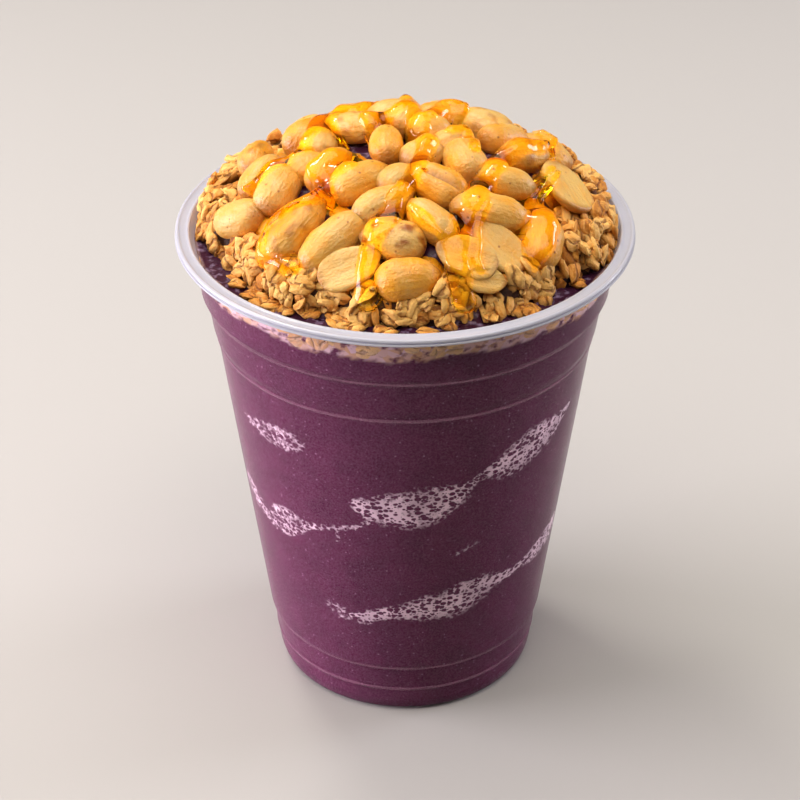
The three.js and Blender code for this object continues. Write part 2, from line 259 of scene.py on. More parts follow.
def seat(piece: bpy.types.Object, slot: str, node: str) -> None:
    """Lets a piece ride on the cup's one body, hides the CAD node that it stands for, and logs its slot.

    Args:
        piece: The piece.
        slot: The record's material slot; it is only logged.
        node: The CAD node that it replaces.
    """
    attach(piece, "root")
    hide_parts(node)
    LOG.info("%s: %d faces, slot %s", piece.name, len(piece.data.polygons), slot)


# ---- the sizes that the solids share ------------------------------------------------


@dataclass(frozen=True)
class Wall:
    """The cup's outer wall as radius and height in mm, and how thick it is."""

    outer: tuple[tuple[float, float], ...] = (
        (26.8, 0), (28.2, 0.9), (28.8, 3.0), (29.0, 6.2), (29.25, 7.3), (29.8, 12.7),
        (30.58, 14.3), (39.74, 83.8), (40.54, 86.2), (41.52, 93.0), (42.77, 95.1), (43.85, 104.9),
    )
    thickness: float = 0.6
    beads: tuple[float, ...] = (7.0, 13.4, 84.1, 94.0)
    bead_rise: float = 0.2
    bead_width: float = 0.4

    def radius(self, height: Array) -> Array:
        """Outer radius at a height, in straight pieces between the wall's corners."""
        radii, heights = np.array(self.outer).T
        return np.interp(height, heights, radii)

    def beaded(self, height: Array) -> Array:
        """Outer radius with a fine moulded bead on each step: a bell curve 0.2 mm high."""
        off = (np.asarray(height)[..., None] - np.array(self.beads)) / self.bead_width
        return self.radius(height) + self.bead_rise * np.exp(-(off**2)).sum(-1)


@dataclass(frozen=True)
class Mound:
    """The heap over the rim, in mm, with the same surface as in the solids."""

    level: float = 105.0
    rise: float = 23.0
    side_reach: float = 45.0
    front_pull: float = 4.0
    lean: float = 2.0
    fullness: float = 0.6
    granola_depth: float = 1.5

    def reach(self, x: Array, y: Array) -> Array:
        """Foot radius: 45 less 4 times the square of half of 1 - sin(azimuth)."""
        front = (1 - np.sin(np.arctan2(y, x))) / 2
        return self.side_reach - self.front_pull * front**2

    def share(self, x: Array, y: Array) -> Array:
        """Distance from the axis as a share of the reach."""
        return np.hypot(x, y) / self.reach(x, y)

    def top(self, x: Array, y: Array) -> Array:
        """Height of the heap: 105 + 23 (1 - s)^0.6, with s the squared share from the lean.

        Args:
            x: Place to the right in mm.
            y: Place to the back in mm.

        Returns:
            Height in mm.
        """
        reach = self.reach(x, y)
        inward = np.clip(1 - (x**2 + y**2) / reach**2, 0, 1)
        squared = ((x - self.lean * inward) ** 2 + y**2) / reach**2
        return self.level + self.rise * np.maximum(0, 1 - squared) ** self.fullness

    def axes(self, x: Array, y: Array, turn: Array) -> Array:
        """Axes of a thing that lies on the heap, its length turned from +X on the slope.

        Args:
            x: Places to the right in mm.
            y: Places to the back in mm.
            turn: Angle of each length from +X in radians.

        Returns:
            For each place a 3 by 3 matrix with rows along, across and out.
        """
        step = 0.05
        slope_x = (self.top(x + step, y) - self.top(x - step, y)) / (2 * step)
        slope_y = (self.top(x, y + step) - self.top(x, y - step)) / (2 * step)
        out = np.stack([-slope_x, -slope_y, np.ones_like(x)], axis=-1)
        level_x, level_y = np.cos(turn), np.sin(turn)
        along = np.stack([level_x, level_y, slope_x * level_x + slope_y * level_y], axis=-1)
        return upright(along, out)


# ---- finishes -----------------------------------------------------------------------


def linear(colour: str) -> tuple[float, float, float, float]:
    """Turns an sRGB hex colour, such as "#c08040", into linear light with an alpha of 1.

    Args:
        colour: The hex colour.

    Returns:
        Red, green, blue and alpha.
    """
    parts = [int(colour[i : i + 2], 16) / 255 for i in (1, 3, 5)]
    light = [p / 12.92 if p <= 0.04045 else ((p + 0.055) / 1.055) ** 2.4 for p in parts]
    return light[0], light[1], light[2], 1.0


def per_mm(size: float) -> float:
    """Texture scale, in object coordinates in metres, whose cells are size mm wide."""
    return 1 / (size * MM)


def add_node(
    tree: bpy.types.NodeTree, kind: str, inputs: dict | None = None, **settings: object
) -> bpy.types.Node:
    """Adds a node, sets it and links it.

    Inputs that share a name go by number: on Mix 0 is the factor and 6 and 7 are the colours,
    and on Map Range 1 and 2 are the ends it reads and 3 and 4 the ends it gives.

    Args:
        tree: The material's node tree.
        kind: The node's Blender type after "ShaderNode".
        inputs: For each input a value, a hex colour, the output to link to it, or a node that
            stands for its first output in use.
        settings: The node's own settings.

    Returns:
        The new node.
    """
    node = tree.nodes.new("ShaderNode" + kind)
    for key, value in settings.items():
        setattr(node, key, value)
    for key, value in (inputs or {}).items():
        if isinstance(value, bpy.types.Node):
            value = next(output for output in value.outputs if output.enabled)
        if isinstance(value, bpy.types.NodeSocket):
            tree.links.new(value, node.inputs[key])
        else:
            node.inputs[key].default_value = linear(value) if isinstance(value, str) else value
    return node


@dataclass(frozen=True)
class Finish:
    """What every finish has: a name, and a material that its own nodes fill."""

    name: str = "finish"
    lamp_tint: str = ""  # what lamp light is filtered to on its way through a clear thing

    def shader(self, node: Adder) -> dict[str, object]:
        """Adds the finish's nodes and gives the values of the shader's inputs."""
        raise NotImplementedError

    def volume(self, node: Adder) -> bpy.types.Node | None:
        """What fills the piece, if light goes through it."""
        return None

    @staticmethod
    def read(node: Adder, *names: str) -> list[bpy.types.NodeSocket]:
        """The outputs of the point values with these names."""
        return [node("Attribute", attribute_name=name).outputs["Fac"] for name in names]

    @staticmethod
    def layered(node: Adder, base: object, layers: tuple) -> object:
        """Lays colours over a base one after the other.

        Args:
            node: Adds a node to the material.
            base: The lowest colour.
            layers: For each further colour its amount and the colour itself.

        Returns:
            The topmost mix.
        """
        for amount, colour in layers:
            base = node("Mix", {0: amount, 6: base, 7: colour}, data_type="RGBA")
        return base

    @staticmethod
    def ripple(
        node: Adder, size: float, height: float, strength: float, detail: float = 2.0
    ) -> bpy.types.Node:
        """Bump that follows one noise.

        Args:
            node: Adds a node to the material.
            size: Width of the noise's waves in mm.
            height: Height of its waves in mm.
            strength: Share of that height that shows.
            detail: How many finer noises lie on it.

        Returns:
            The bump.
        """
        place = node("TexCoord").outputs["Object"]
        noise = node("TexNoise", {"Vector": place, "Scale": per_mm(size), "Detail": detail})
        return node("Bump", {"Strength": strength, "Distance": height * MM, "Height": noise})

    def material(self) -> bpy.types.Material:
        """Makes the material from the finish's nodes.

        Returns:
            The new material.
        """
        material = bpy.data.materials.new(self.name)
        material.use_nodes = True
        tree = material.node_tree
        tree.nodes.clear()
        node = partial(add_node, tree)
        surface = node("BsdfPrincipled", self.shader(node))
        if self.lamp_tint:
            path = node("LightPath").outputs["Is Shadow Ray"]
            film = node("BsdfTransparent", {"Color": self.lamp_tint})
            surface = node("MixShader", {0: path, 1: surface, 2: film})
        filling = self.volume(node)
        node("OutputMaterial", {"Surface": surface} | ({"Volume": filling} if filling else {}))
        return material


@dataclass(frozen=True)
class ClearPolypropylene(Finish):
    """Thin thermoformed polypropylene: clear, with a faint milky haze that softens it."""

    name: str = "thermoformed clear polypropylene"
    lamp_tint: str = "#f6f2f7"
    colour: str = "#f6f3f8"
    haze: float = 0.004
    roughness: float = 0.24
    ior: float = 1.16  # the solid has 1.49; the veil of gloss on so thin a wall reads far weaker

    def shader(self, node: Adder) -> dict[str, object]:
        """A nearly clear dielectric whose gloss wavers over the mould's slow 5 mm waves.

        Args:
            node: Adds a node to the material.

        Returns:
            Values of the shader's inputs.
        """
        return {
            "Base Color": self.colour,
            "Roughness": self.roughness,
            "IOR": self.ior,
            "Transmission Weight": 1 - self.haze,
            "Normal": self.ripple(node, size=5.0, height=0.1, strength=0.08),
        }


@dataclass(frozen=True)
class PaintedStepHighlight(ClearPolypropylene):
    """The same sheet at each step of the mould, with a painted highlight: a thin whitish line for the
    light that the step's rounded edge catches.
    """

    name: str = "polypropylene with a painted step highlight"
    colour: str = "#e8b0ce"
    haze: float = 0.2


@dataclass(frozen=True)
class MilkyPolypropylene(Finish):
    """The rolled rim, where the same plastic is thick enough to look milky white."""

    name: str = "rolled milky polypropylene"
    colour: str = "#cacad5"
    roughness: float = 0.24
    ior: float = 1.49
    clearness: float = 0.2

    def shader(self, node: Adder) -> dict[str, object]:
        """Part scattering and part clear, with a soft sheen and faint drag marks of 2.5 mm.

        Args:
            node: Adds a node to the material.

        Returns:
            Values of the shader's inputs.
        """
        return {
            "Base Color": self.colour,
            "Roughness": self.roughness,
            "IOR": self.ior,
            "Transmission Weight": self.clearness,
            "Subsurface Weight": 0.3,
            "Subsurface Radius": (1.5 * MM, 1.5 * MM, 1.8 * MM),
            "Subsurface Scale": 1.0,
            "Normal": self.ripple(node, size=2.5, height=0.1, strength=0.1, detail=3.0),
        }


@dataclass(frozen=True)
class FrozenAcai(Finish):
    """Whipped frozen acai pulp: dense and dull purple, with air lace where it meets the wall.

    The point values foam (0 to 1 towards a streak's middle), crumbs (1 in the ring under the
    rim) and wet (1 on the open top) say where the lace, the oat smears and the melted skin are.
    """

    name: str = "frozen acai pulp"
    colour: str = "#602344"
    shade: str = "#42162e"
    speck: str = "#a57a94"
    foam: str = "#efd2dd"
    # Lavender of ice crystals on the open top, partly a painted glint.
    frost: str = "#a08cae"
    milk: str = "#d6b6be"
    oat: str = "#cd9e72"
    skin: str = "#3c1a32"
    roughness: float = 0.5
    skin_roughness: float = 0.36
    # Two sizes of bubble in the foam: width of a cell in mm, and the least and greatest radius
    # of its hole as a share of that.
    bubbles: tuple[tuple[float, float, float], ...] = ((1.45, 0.28, 0.52), (0.8, 0.14, 0.45))

    def holes(self, node: Adder, oval: bpy.types.Node) -> bpy.types.Node:
        """Foam less its bubbles: each cell's own random tone sets how far its hole opens.

        Args:
            node: Adds a node to the material.
            oval: Places on the wall.

        Returns:
            1 in the foam's lace and 0 in its holes.
        """
        walls = []
        for size, least, most in self.bubbles:
            cells = node("TexVoronoi", {"Vector": oval, "Scale": per_mm(size), "Randomness": 0.85})
            tone = node("SeparateColor", {"Color": cells.outputs["Color"]})
            hole = node("MapRange", {"Value": tone, 3: least, 4: most})
            beyond = node("Math", {0: cells, 1: hole}, operation="SUBTRACT")
            walls.append(node("MapRange", {"Value": beyond, 1: -0.04, 2: 0.08}))
        return node("Math", {0: walls[0], 1: walls[1]}, operation="MULTIPLY")

    def shader(self, node: Adder) -> dict[str, object]:
        """Cloudy pulp with fine specks, air lace in the streaks, and a wet skin on top.

        Args:
            node: Adds a node to the material.

        Returns:
            Values of the shader's inputs.
        """
        place = node("TexCoord").outputs["Object"]
        noise = partial(node, "TexNoise")
        # Bubbles pressed on the wall are wider than high: heights count 1.35 times.
        oval = node("Mapping", {"Vector": place, "Scale": (1, 1, 1.35)})
        foam, wet, crumbs = self.read(node, "foam", "wet", "crumbs")
        # Clouds some 6 mm across where the pulp froze unevenly.
        cloud = noise({"Vector": place, "Scale": per_mm(6), "Detail": 4.0})
        # Fruit fibre gives a faint grain; it is drawn 0.4 mm wide, as finer grain doesn't show.
        grain = noise({"Vector": place, "Scale": per_mm(0.4), "Detail": 1.0})
        fibre = node("MapRange", {"Value": grain, 1: 0.3, 2: 0.75, 4: 0.2})
        # Seed specks are 0.2 to 0.4 mm wide and 1 mm or more apart; a cell's tone thins them out.
        seeds = node("TexVoronoi", {"Vector": place, "Scale": per_mm(0.95)})
        tone = node("SeparateColor", {"Color": seeds.outputs["Color"]})
        width = node("MapRange", {"Value": tone, 1: 0.25, 3: -0.08, 4: 0.26})
        core = node("Math", {0: width, 1: seeds}, operation="SUBTRACT")
        dot = node("MapRange", {"Value": core, 2: 0.08, 4: 0.6})
        # The streak frays where noise of 1 mm eats into its edge, and never leaves its bounds.
        fray = noise({"Vector": place, "Scale": per_mm(1.0), "Detail": 4.0})
        eaten = node("Math", {0: fray, 1: 1.2, 2: -0.62}, operation="MULTIPLY_ADD")
        worn = node("Math", {0: foam, 1: eaten}, operation="ADD")
        lace = node("MapRange", {"Value": worn, 1: 0.02, 2: 0.4, 4: 0.92})
        within = node("MapRange", {"Value": foam, 1: 0.0, 2: 0.12})
        # It is thinner in places, as the clouds of the pulp are, and its bubbles pierce it.
        thin = node("MapRange", {"Value": cloud, 1: 0.35, 2: 0.58, 3: 0.62, 4: 1.0})
        for part in (within, thin, self.holes(node, oval)):
            lace = node("Math", {0: lace, 1: part}, operation="MULTIPLY")
        # Crumbs and melted pulp are pressed on the wall in a ring: smears of about 2 mm.
        smear = noise({"Vector": oval, "Scale": per_mm(2.4), "Detail": 5.0})
        grains = node("TexVoronoi", {"Vector": oval, "Scale": per_mm(1.9)})
        tone = node("SeparateColor", {"Color": grains.outputs["Color"]})
        packed = node("MapRange", {"Value": smear, 1: 0.36, 2: 0.5})
        ring = node("Math", {0: packed, 1: crumbs}, operation="MULTIPLY")
        # Clumps of ice crystals, 1.6 mm across, lighten and roughen the open top in patches; their
        # lavender colour is partly painted glints.
        ice = noise({"Vector": place, "Scale": per_mm(1.6), "Detail": 4.0})
        ice_and_painted_glints = node("MapRange", {"Value": ice, 1: 0.53, 2: 0.7, 4: 0.75})
        colours = (
            (cloud, self.colour),
            (fibre, self.speck),
            (dot, self.speck),
            (lace, self.foam),
            (ring, self.layered(node, self.oat, ((tone, self.milk),))),
            (wet, self.layered(node, self.skin, ((ice_and_painted_glints, self.frost),))),
        )
        relief = node("Math", {0: ice, 1: wet}, operation="MULTIPLY")
        return {
            "Base Color": self.layered(node, self.shade, colours),
            "Roughness": node("Mix", {0: wet, 2: self.roughness, 3: self.skin_roughness}),
            "IOR": 1.36,
            "Specular IOR Level": 0.05,
            "Coat Weight": node("Math", {0: wet, 1: 0.35}, operation="MULTIPLY"),
            "Coat Roughness": 0.3,
            "Normal": node("Bump", {"Strength": 1.0, "Distance": 0.8 * MM, "Height": relief}),
        }


@dataclass(frozen=True)
class ToastedOats(Finish):
    """Baked rolled oats: dry, matte and papery, with a crease along each flake.

    The point values tint (0 pale to 1 dark, one for each flake, and lower in the heap's higher
    and front flakes as painted light), edge (0 in a flake's middle to 1 on its rim), deep (1 down
    between the flakes, drawn dark there as painted shade), frost (1 where it is pressed on the cold
    wall) and own (mm along, across and up, with a shift for each flake) carry each flake's own
    colour and that painted light and shade.
    """

    name: str = "toasted rolled oats"
    pale: str = "#f6bf68"
    golden: str = "#db8f2c"
    brown: str = "#7e3d08"
    # Dark brown that paints the shade down between the flakes.
    painted_gap_shade: str = "#2e1104"
    ice: str = "#cdb09a"
    roughness: float = 0.7

    def shader(self, node: Adder) -> dict[str, object]:
        """Three tones by tint, mottled by bran streaks, with painted shade in the creases and down
        between the flakes.

        Args:
            node: Adds a node to the material.

        Returns:
            Values of the shader's inputs.
        """
        place = node("TexCoord").outputs["Object"]
        own = node("Attribute", attribute_name="own").outputs["Vector"]
        tint, edge, deep, frost = self.read(node, "tint", "edge", "deep", "frost")
        # Bran streaks are about 0.9 mm apart and run along the flake: its length counts a third.
        along = node("Mapping", {"Vector": own, "Scale": (0.35, 1, 1)})
        bran = node("TexNoise", {"Vector": along, "Scale": 1 / 0.9, "Detail": 4.0})
        mottled = node("Math", {0: bran, 1: 1.3, 2: -0.65}, operation="MULTIPLY_ADD")
        amount = node("Math", {0: tint, 1: mottled}, operation="ADD")
        # The crease is where the groat's furrow was: 0.5 mm wide, wavering along the middle.
        wander = node("TexNoise", {"Vector": own, "Scale": 1 / 2.2, "Detail": 2.0})
        off = node("Math", {0: wander, 1: 2.4, 2: -1.2}, operation="MULTIPLY_ADD")
        across = node("SeparateXYZ", {"Vector": own}).outputs["Y"]
        aside = node("Math", {0: across, 1: off}, operation="ADD")
        beside = node("Math", {0: aside}, operation="ABSOLUTE")
        crease = node("MapRange", {"Value": beside, 1: 0.1, 2: 0.42, 3: 0.7, 4: 0.0})
        colours = (
            (node("MapRange", {"Value": amount, 1: 0.0, 2: 0.55}), self.golden),
            (node("MapRange", {"Value": amount, 1: 0.5, 2: 1.15}), self.brown),
            # Painted shade: the crease is drawn brown for the shade that falls in it.
            (crease, self.brown),
            # The thin rim of a flake dries out pale.
            (node("MapRange", {"Value": edge, 1: 0.86, 2: 1.0, 4: 0.4}), self.pale),
            # Painted shade: flakes are drawn dark brown down between the others.
            (node("Math", {0: deep, 1: 0.9}, operation="MULTIPLY"), self.painted_gap_shade),
            (node("Math", {0: frost, 1: bran}, operation="MULTIPLY"), self.ice),
        )
        paper = node("TexNoise", {"Vector": place, "Scale": per_mm(0.6), "Detail": 3.0})
        folds = node("Math", {0: crease, 1: -1.6, 2: paper}, operation="MULTIPLY_ADD")
        relief = node("Math", {0: bran, 1: 1.6, 2: folds}, operation="MULTIPLY_ADD")
        return {
            "Base Color": self.layered(node, self.pale, colours),
            "Roughness": self.roughness,
            "Subsurface Weight": 0.12,
            "Subsurface Radius": (0.9 * MM, 0.5 * MM, 0.2 * MM),
            "Subsurface Scale": 1.0,
            "Normal": node("Bump", {"Strength": 0.8, "Distance": 0.35 * MM, "Height": relief}),
        }


@dataclass(frozen=True)
class CrumbsInPaintedShade(ToastedOats):
    """The same oats under the loose ones, in dark colours that paint the shade down there."""

    name: str = "oat crumbs in painted shade"
    pale: str = "#6a3a16"
    golden: str = "#4c260e"
    brown: str = "#2e1406"


@dataclass(frozen=True)
class BlanchedPeanut(Finish):
    """Skinned roasted peanuts: waxy cream flesh, golden where the oven caught it.

    The point values tint (one for each nut, raised on the lower layer as painted shade), tip (1 at
    its ends), a value that is 1 on a scorched place and also carries painted shade along a seam's
    groove, and own (mm along, across and up, with a shift for each nut) carry each nut's own colour
    and that painted shade.
    """

    name: str = "blanched roasted peanut"
    cream: str = "#e0b667"
    golden: str = "#e89c12"
    toasted: str = "#9a5212"
    roughness: float = 0.42

    def shader(self, node: Adder) -> dict[str, object]:
        """Cream to golden by tint in soft patches of 4 mm, veins, small pits, toasted tips.

        Args:
            node: Adds a node to the material.

        Returns:
            Values of the shader's inputs.
        """
        place = node("TexCoord").outputs["Object"]
        own = node("Attribute", attribute_name="own").outputs["Vector"]
        tint, tip, scorch_and_cleft_shade = self.read(node, "tint", "tip", "scorch_and_cleft_shade")
        patch = node("TexNoise", {"Vector": place, "Scale": per_mm(4), "Detail": 3.0})
        uneven = node("Math", {0: patch, 1: 1.8, 2: -0.9}, operation="MULTIPLY_ADD")
        amount = node("Math", {0: tint, 1: uneven}, operation="ADD")
        # Veins run along the nut, about 1 mm apart: its length counts a fifth.
        along = node("Mapping", {"Vector": own, "Scale": (0.2, 1, 1)})
        veins = node("TexNoise", {"Vector": along, "Scale": 1.0, "Detail": 3.0})
        vein = node("MapRange", {"Value": veins, 1: 0.52, 2: 0.7, 4: 0.4})
        # Pits 0.5 mm wide where the skin was rubbed off, some 2.6 mm apart.
        pits = node("TexVoronoi", {"Vector": own, "Scale": 1 / 2.6})
        dark = node("MapRange", {"Value": pits, 1: 0.06, 2: 0.14, 3: 0.8, 4: 0.0})
        # Scorched places and the painted shade in a seam's groove darken like the tips.
        ends = node("Math", {0: tip, 1: scorch_and_cleft_shade}, operation="MAXIMUM")
        dark = node("Math", {0: ends, 1: dark}, operation="MAXIMUM")
        # Pores are about 0.1 mm; drawn 0.6 mm wide, as finer ones don't show.
        pores = node("TexNoise", {"Vector": place, "Scale": per_mm(0.6), "Detail": 3.0})
        relief = node("Math", {0: veins, 1: 1.5, 2: pores}, operation="MULTIPLY_ADD")
        colours = ((amount, self.golden), (vein, self.golden), (dark, self.toasted))
        return {
            "Base Color": self.layered(node, self.cream, colours),
            "Roughness": self.roughness,
            "Subsurface Weight": 0.3,
            "Subsurface Radius": (1.2 * MM, 0.9 * MM, 0.3 * MM),
            "Subsurface Scale": 1.0,
            "Coat Weight": 0.12,
            "Coat Roughness": 0.25,
            "Normal": node("Bump", {"Strength": 0.8, "Distance": 0.3 * MM, "Height": relief}),
        }


@dataclass(frozen=True)
class RunnyHoney(Finish):
    """Clear liquid honey: a glossy skin, and a body that goes from yellow to amber."""

    name: str = "runny clear honey"
    lamp_tint: str = "#ffeba8"
    colour: str = "#fffdf4"
    body: tuple[float, float, float] = (0.99, 0.92, 0.06)
    density: float = 1000.0
    roughness: float = 0.06
    ior: float = 1.4  # honey has 1.49; at that a film hides the nut under it more than it should

    def shader(self, node: Adder) -> dict[str, object]:
        """A smooth dielectric with a slow ripple of 3.5 mm in its skin.

        Args:
            node: Adds a node to the material.

        Returns:
            Values of the shader's inputs.
        """
        return {
            "Base Color": self.colour,
            "Roughness": self.roughness,
            "IOR": self.ior,
            "Transmission Weight": 1.0,
            "Normal": self.ripple(node, size=3.5, height=0.4, strength=0.25),
        }

    def volume(self, node: Adder) -> bpy.types.Node:
        """Takes out blue at once and green slowly, so 0.5 mm is yellow and 3 mm amber."""
        return node("VolumeAbsorption", {"Color": (*self.body, 1.0), "Density": self.density})


@dataclass(frozen=True)
class StudioPaper(Finish):
    """Seamless matte background paper: pale, with a fine tooth."""

    name: str = "pale background paper"
    colour: str = "#bbb8b3"
    roughness: float = 0.9

    def shader(self, node: Adder) -> dict[str, object]:
        """One pale tone with a faint tooth of 1 mm."""
        tooth = self.ripple(node, size=1.0, height=0.05, strength=0.1)
        return {"Base Color": self.colour, "Roughness": self.roughness, "Normal": tooth}


# ---- the studio ---------------------------------------------------------------------


@dataclass(frozen=True)
class Softbox:
    """A square light: where it stands, its side and its power, in metres and watts."""

    name: str
    place: tuple[float, float, float]
    side: float
    power: float
    colour: str


@dataclass
class Studio:
    """The camera, the floor and the lights, in metres."""

    eye: tuple[float, float, float] = (0.0, -0.4204, 0.3342)
    target: tuple[float, float, float] = (0.0, 0.0, 0.0636)
    lit_point: tuple[float, float, float] = (0.0, 0.0, 0.08)
    lens: float = 103.73
    sensor: float = 36.0
    image_side: int = 800
    middle_column: float = 405.05
    floor_side: float = 6.0
    ambient: str = "#bdbac0"
    ambient_strength: float = 0.08
    softboxes: tuple[Softbox, ...] = (
        Softbox("key_left", (-0.88, 0.0, 0.21), 0.6, 14.2, "#f8f0fc"),
        Softbox("top", (-0.12, -0.05, 0.9), 1.0, 8.0, "#fffaf2"),
        Softbox("front", (0.12, -0.35, 0.84), 0.4, 0.9, "#fff0dc"),
        Softbox("sparkle", (-0.25, 0.35, 0.75), 0.16, 2.2, "#fffaf2"),
        Softbox("edge_right", (0.7, 0.25, 0.30), 0.3, 3.0, "#f6f2ff"),
    )

    def hang(
        self, data: bpy.types.ID, place: tuple[float, ...], target: tuple[float, ...]
    ) -> bpy.types.Object:
        """Puts a camera or a light in its place, aimed at a point.

        Args:
            data: The camera or the light.
            place: Where it stands.
            target: What it looks at.

        Returns:
            Its object, linked to the scene.
        """
        holder = bpy.data.objects.new(data.name, data)
        holder.location = place
        aim = Vector(target) - Vector(place)
        holder.rotation_euler = aim.to_track_quat("-Z", "Y").to_euler()
        bpy.context.scene.collection.objects.link(holder)
        return holder

    def place_camera(self) -> None:
        """Aims the camera from its place at the target, shifted to the middle column."""
        camera = bpy.data.cameras.new("camera")
        camera.lens, camera.sensor_width = self.lens, self.sensor
        camera.shift_x = (self.image_side / 2 - self.middle_column) / self.image_side
        bpy.context.scene.camera = self.hang(camera, self.eye, self.target)

    def light(self) -> None:
        """Hangs the softboxes, each aimed at the middle of the cup, in a dim grey room."""
        for box in self.softboxes:
            lamp = bpy.data.lights.new(box.name, "AREA")
            lamp.shape, lamp.size, lamp.energy = "SQUARE", box.side, box.power
            lamp.color = linear(box.colour)[:3]
            self.hang(lamp, box.place, self.lit_point)
        world = bpy.data.worlds.new("room")
        world.use_nodes = True
        room = world.node_tree.nodes["Background"]
        room.inputs["Color"].default_value = linear(self.ambient)
        room.inputs["Strength"].default_value = self.ambient_strength
        bpy.context.scene.world = world
        bpy.context.scene.view_settings.view_transform = "Standard"

    def lay_floor(self) -> None:
        """Lays the paper as a square of one face under the cup."""
        half = self.floor_side / 2 / MM
        corners = np.array([[-half, -half, 0], [half, -half, 0], [half, half, 0], [-half, half, 0]])
        face = np.array([[0, 1, 2, 3]])
        make_piece("studio_floor", corners, [face], [StudioPaper().material()])


# ---- the cup ------------------------------------------------------------------------


@dataclass
class Cup:
    """The thermoformed cup: stepped wall, kicked-up base, rolled rim with a groove, in mm."""

    wall: Wall
    columns: int = 184
    rim_top: float = 107.4
    rim_radius: float = 47.5
    rim_height: float = 2.3
    # The rim's outline as distance outwards from its radius and height over its lower edge.
    rolled: tuple[tuple[float, float], ...] = (
        (-3.45, 0.4), (-1.5, 0.65), (-0.35, 0.7), (0.0, 0.9), (0.0, 1.2), (-0.35, 1.35),
        (-0.35, 1.5), (-0.05, 1.7), (-0.2, 2.15), (-0.7, 2.3), (-1.1, 2.05), (-2.3, 2.1),
        (-2.6, 2.3), (-2.95, 2.2), (-3.1, 1.8),
    )
    foot_inner: float = 23.2
    kick_up: float = 1.6
    kick_slope: float = 1.7
    floor_top: float = 2.4
    floor_dish: float = 0.6
    rounding: float = 0.7
    milky_from: float = 104.3
    step_half: float = 0.46
    bead_rows: int = 17  # rows of points within this reach of each bead's middle
    bead_reach: float = 1.2

    def profile(self) -> Array:
        """The closed outline from the underside's middle, out, up, over the rim and back.

        Returns:
            Rows of radius and height, with every corner rounded.
        """
        curl = self.rim_top - self.rim_height
        rim = [(self.rim_radius + across, curl + up) for across, up in self.rolled]
        underside = [(0, self.kick_up), (self.foot_inner - self.kick_slope, self.kick_up)]
        # Inside, the wall runs straight past the corners of its heel.
        inside = [(r - self.wall.thickness, z) for r, z in self.wall.outer[:2:-1]]
        foot, heel = (self.wall.outer[i][0] - self.wall.thickness for i in (0, 1))
        dish = self.floor_top + self.floor_dish
        floor = [(heel, dish), (foot, self.floor_top), (0, self.floor_top)]
        close = np.linspace(-self.bead_reach, self.bead_reach, self.bead_rows)
        fine = np.add.outer(self.wall.beads, close).ravel()
        heights = np.unique(np.concatenate([[z for _, z in self.wall.outer], fine]))
        side = np.column_stack([self.wall.beaded(heights), heights])
        outline = [*underside, (self.foot_inner, 0), *side, *rim, *inside, *floor]
        return soften(np.array(outline, dtype=float), self.rounding)

    def build(self) -> None:
        """Turns the outline round the axis, dresses wall and rim in their plastics, and paints a
        highlight line on each step.
        """
        outline = self.profile()
        rings = turned(outline[1:-1, :1], outline[1:-1, 1:], circle(self.columns))
        poles = np.stack([np.zeros(2), np.zeros(2), outline[[0, -1], 1]], axis=1)
        points = np.concatenate([rings.reshape(-1, 3), poles])
        faces = capped_faces(len(outline) - 2, self.columns)
        plastics = (ClearPolypropylene(), MilkyPolypropylene(), PaintedStepHighlight())
        piece = make_piece("cup_shell", points, faces, [p.material() for p in plastics])
        height = np.concatenate([points[group, 2].mean(axis=1) for group in faces])
        off_step = np.abs(height[:, None] - np.array(self.wall.beads)).min(axis=1)
        # Faces near each bead get the painted step highlight.
        kind = np.where(height > self.milky_from, 1, np.where(off_step < self.step_half, 2, 0))
        piece.data.polygons.foreach_set("material_index", kind.astype(np.int32))
        seat(piece, "cup", "cup")


# ---- the acai -----------------------------------------------------------------------


@dataclass(frozen=True)
class Streak:
    """A streak of foam on the wall: rows of azimuth in degrees, height and half width in mm.

    Density caps how deep in the streak its points count, so a thin streak has a low one.
    """

    run: tuple[tuple[float, float, float], ...]
    density: float = 1.0


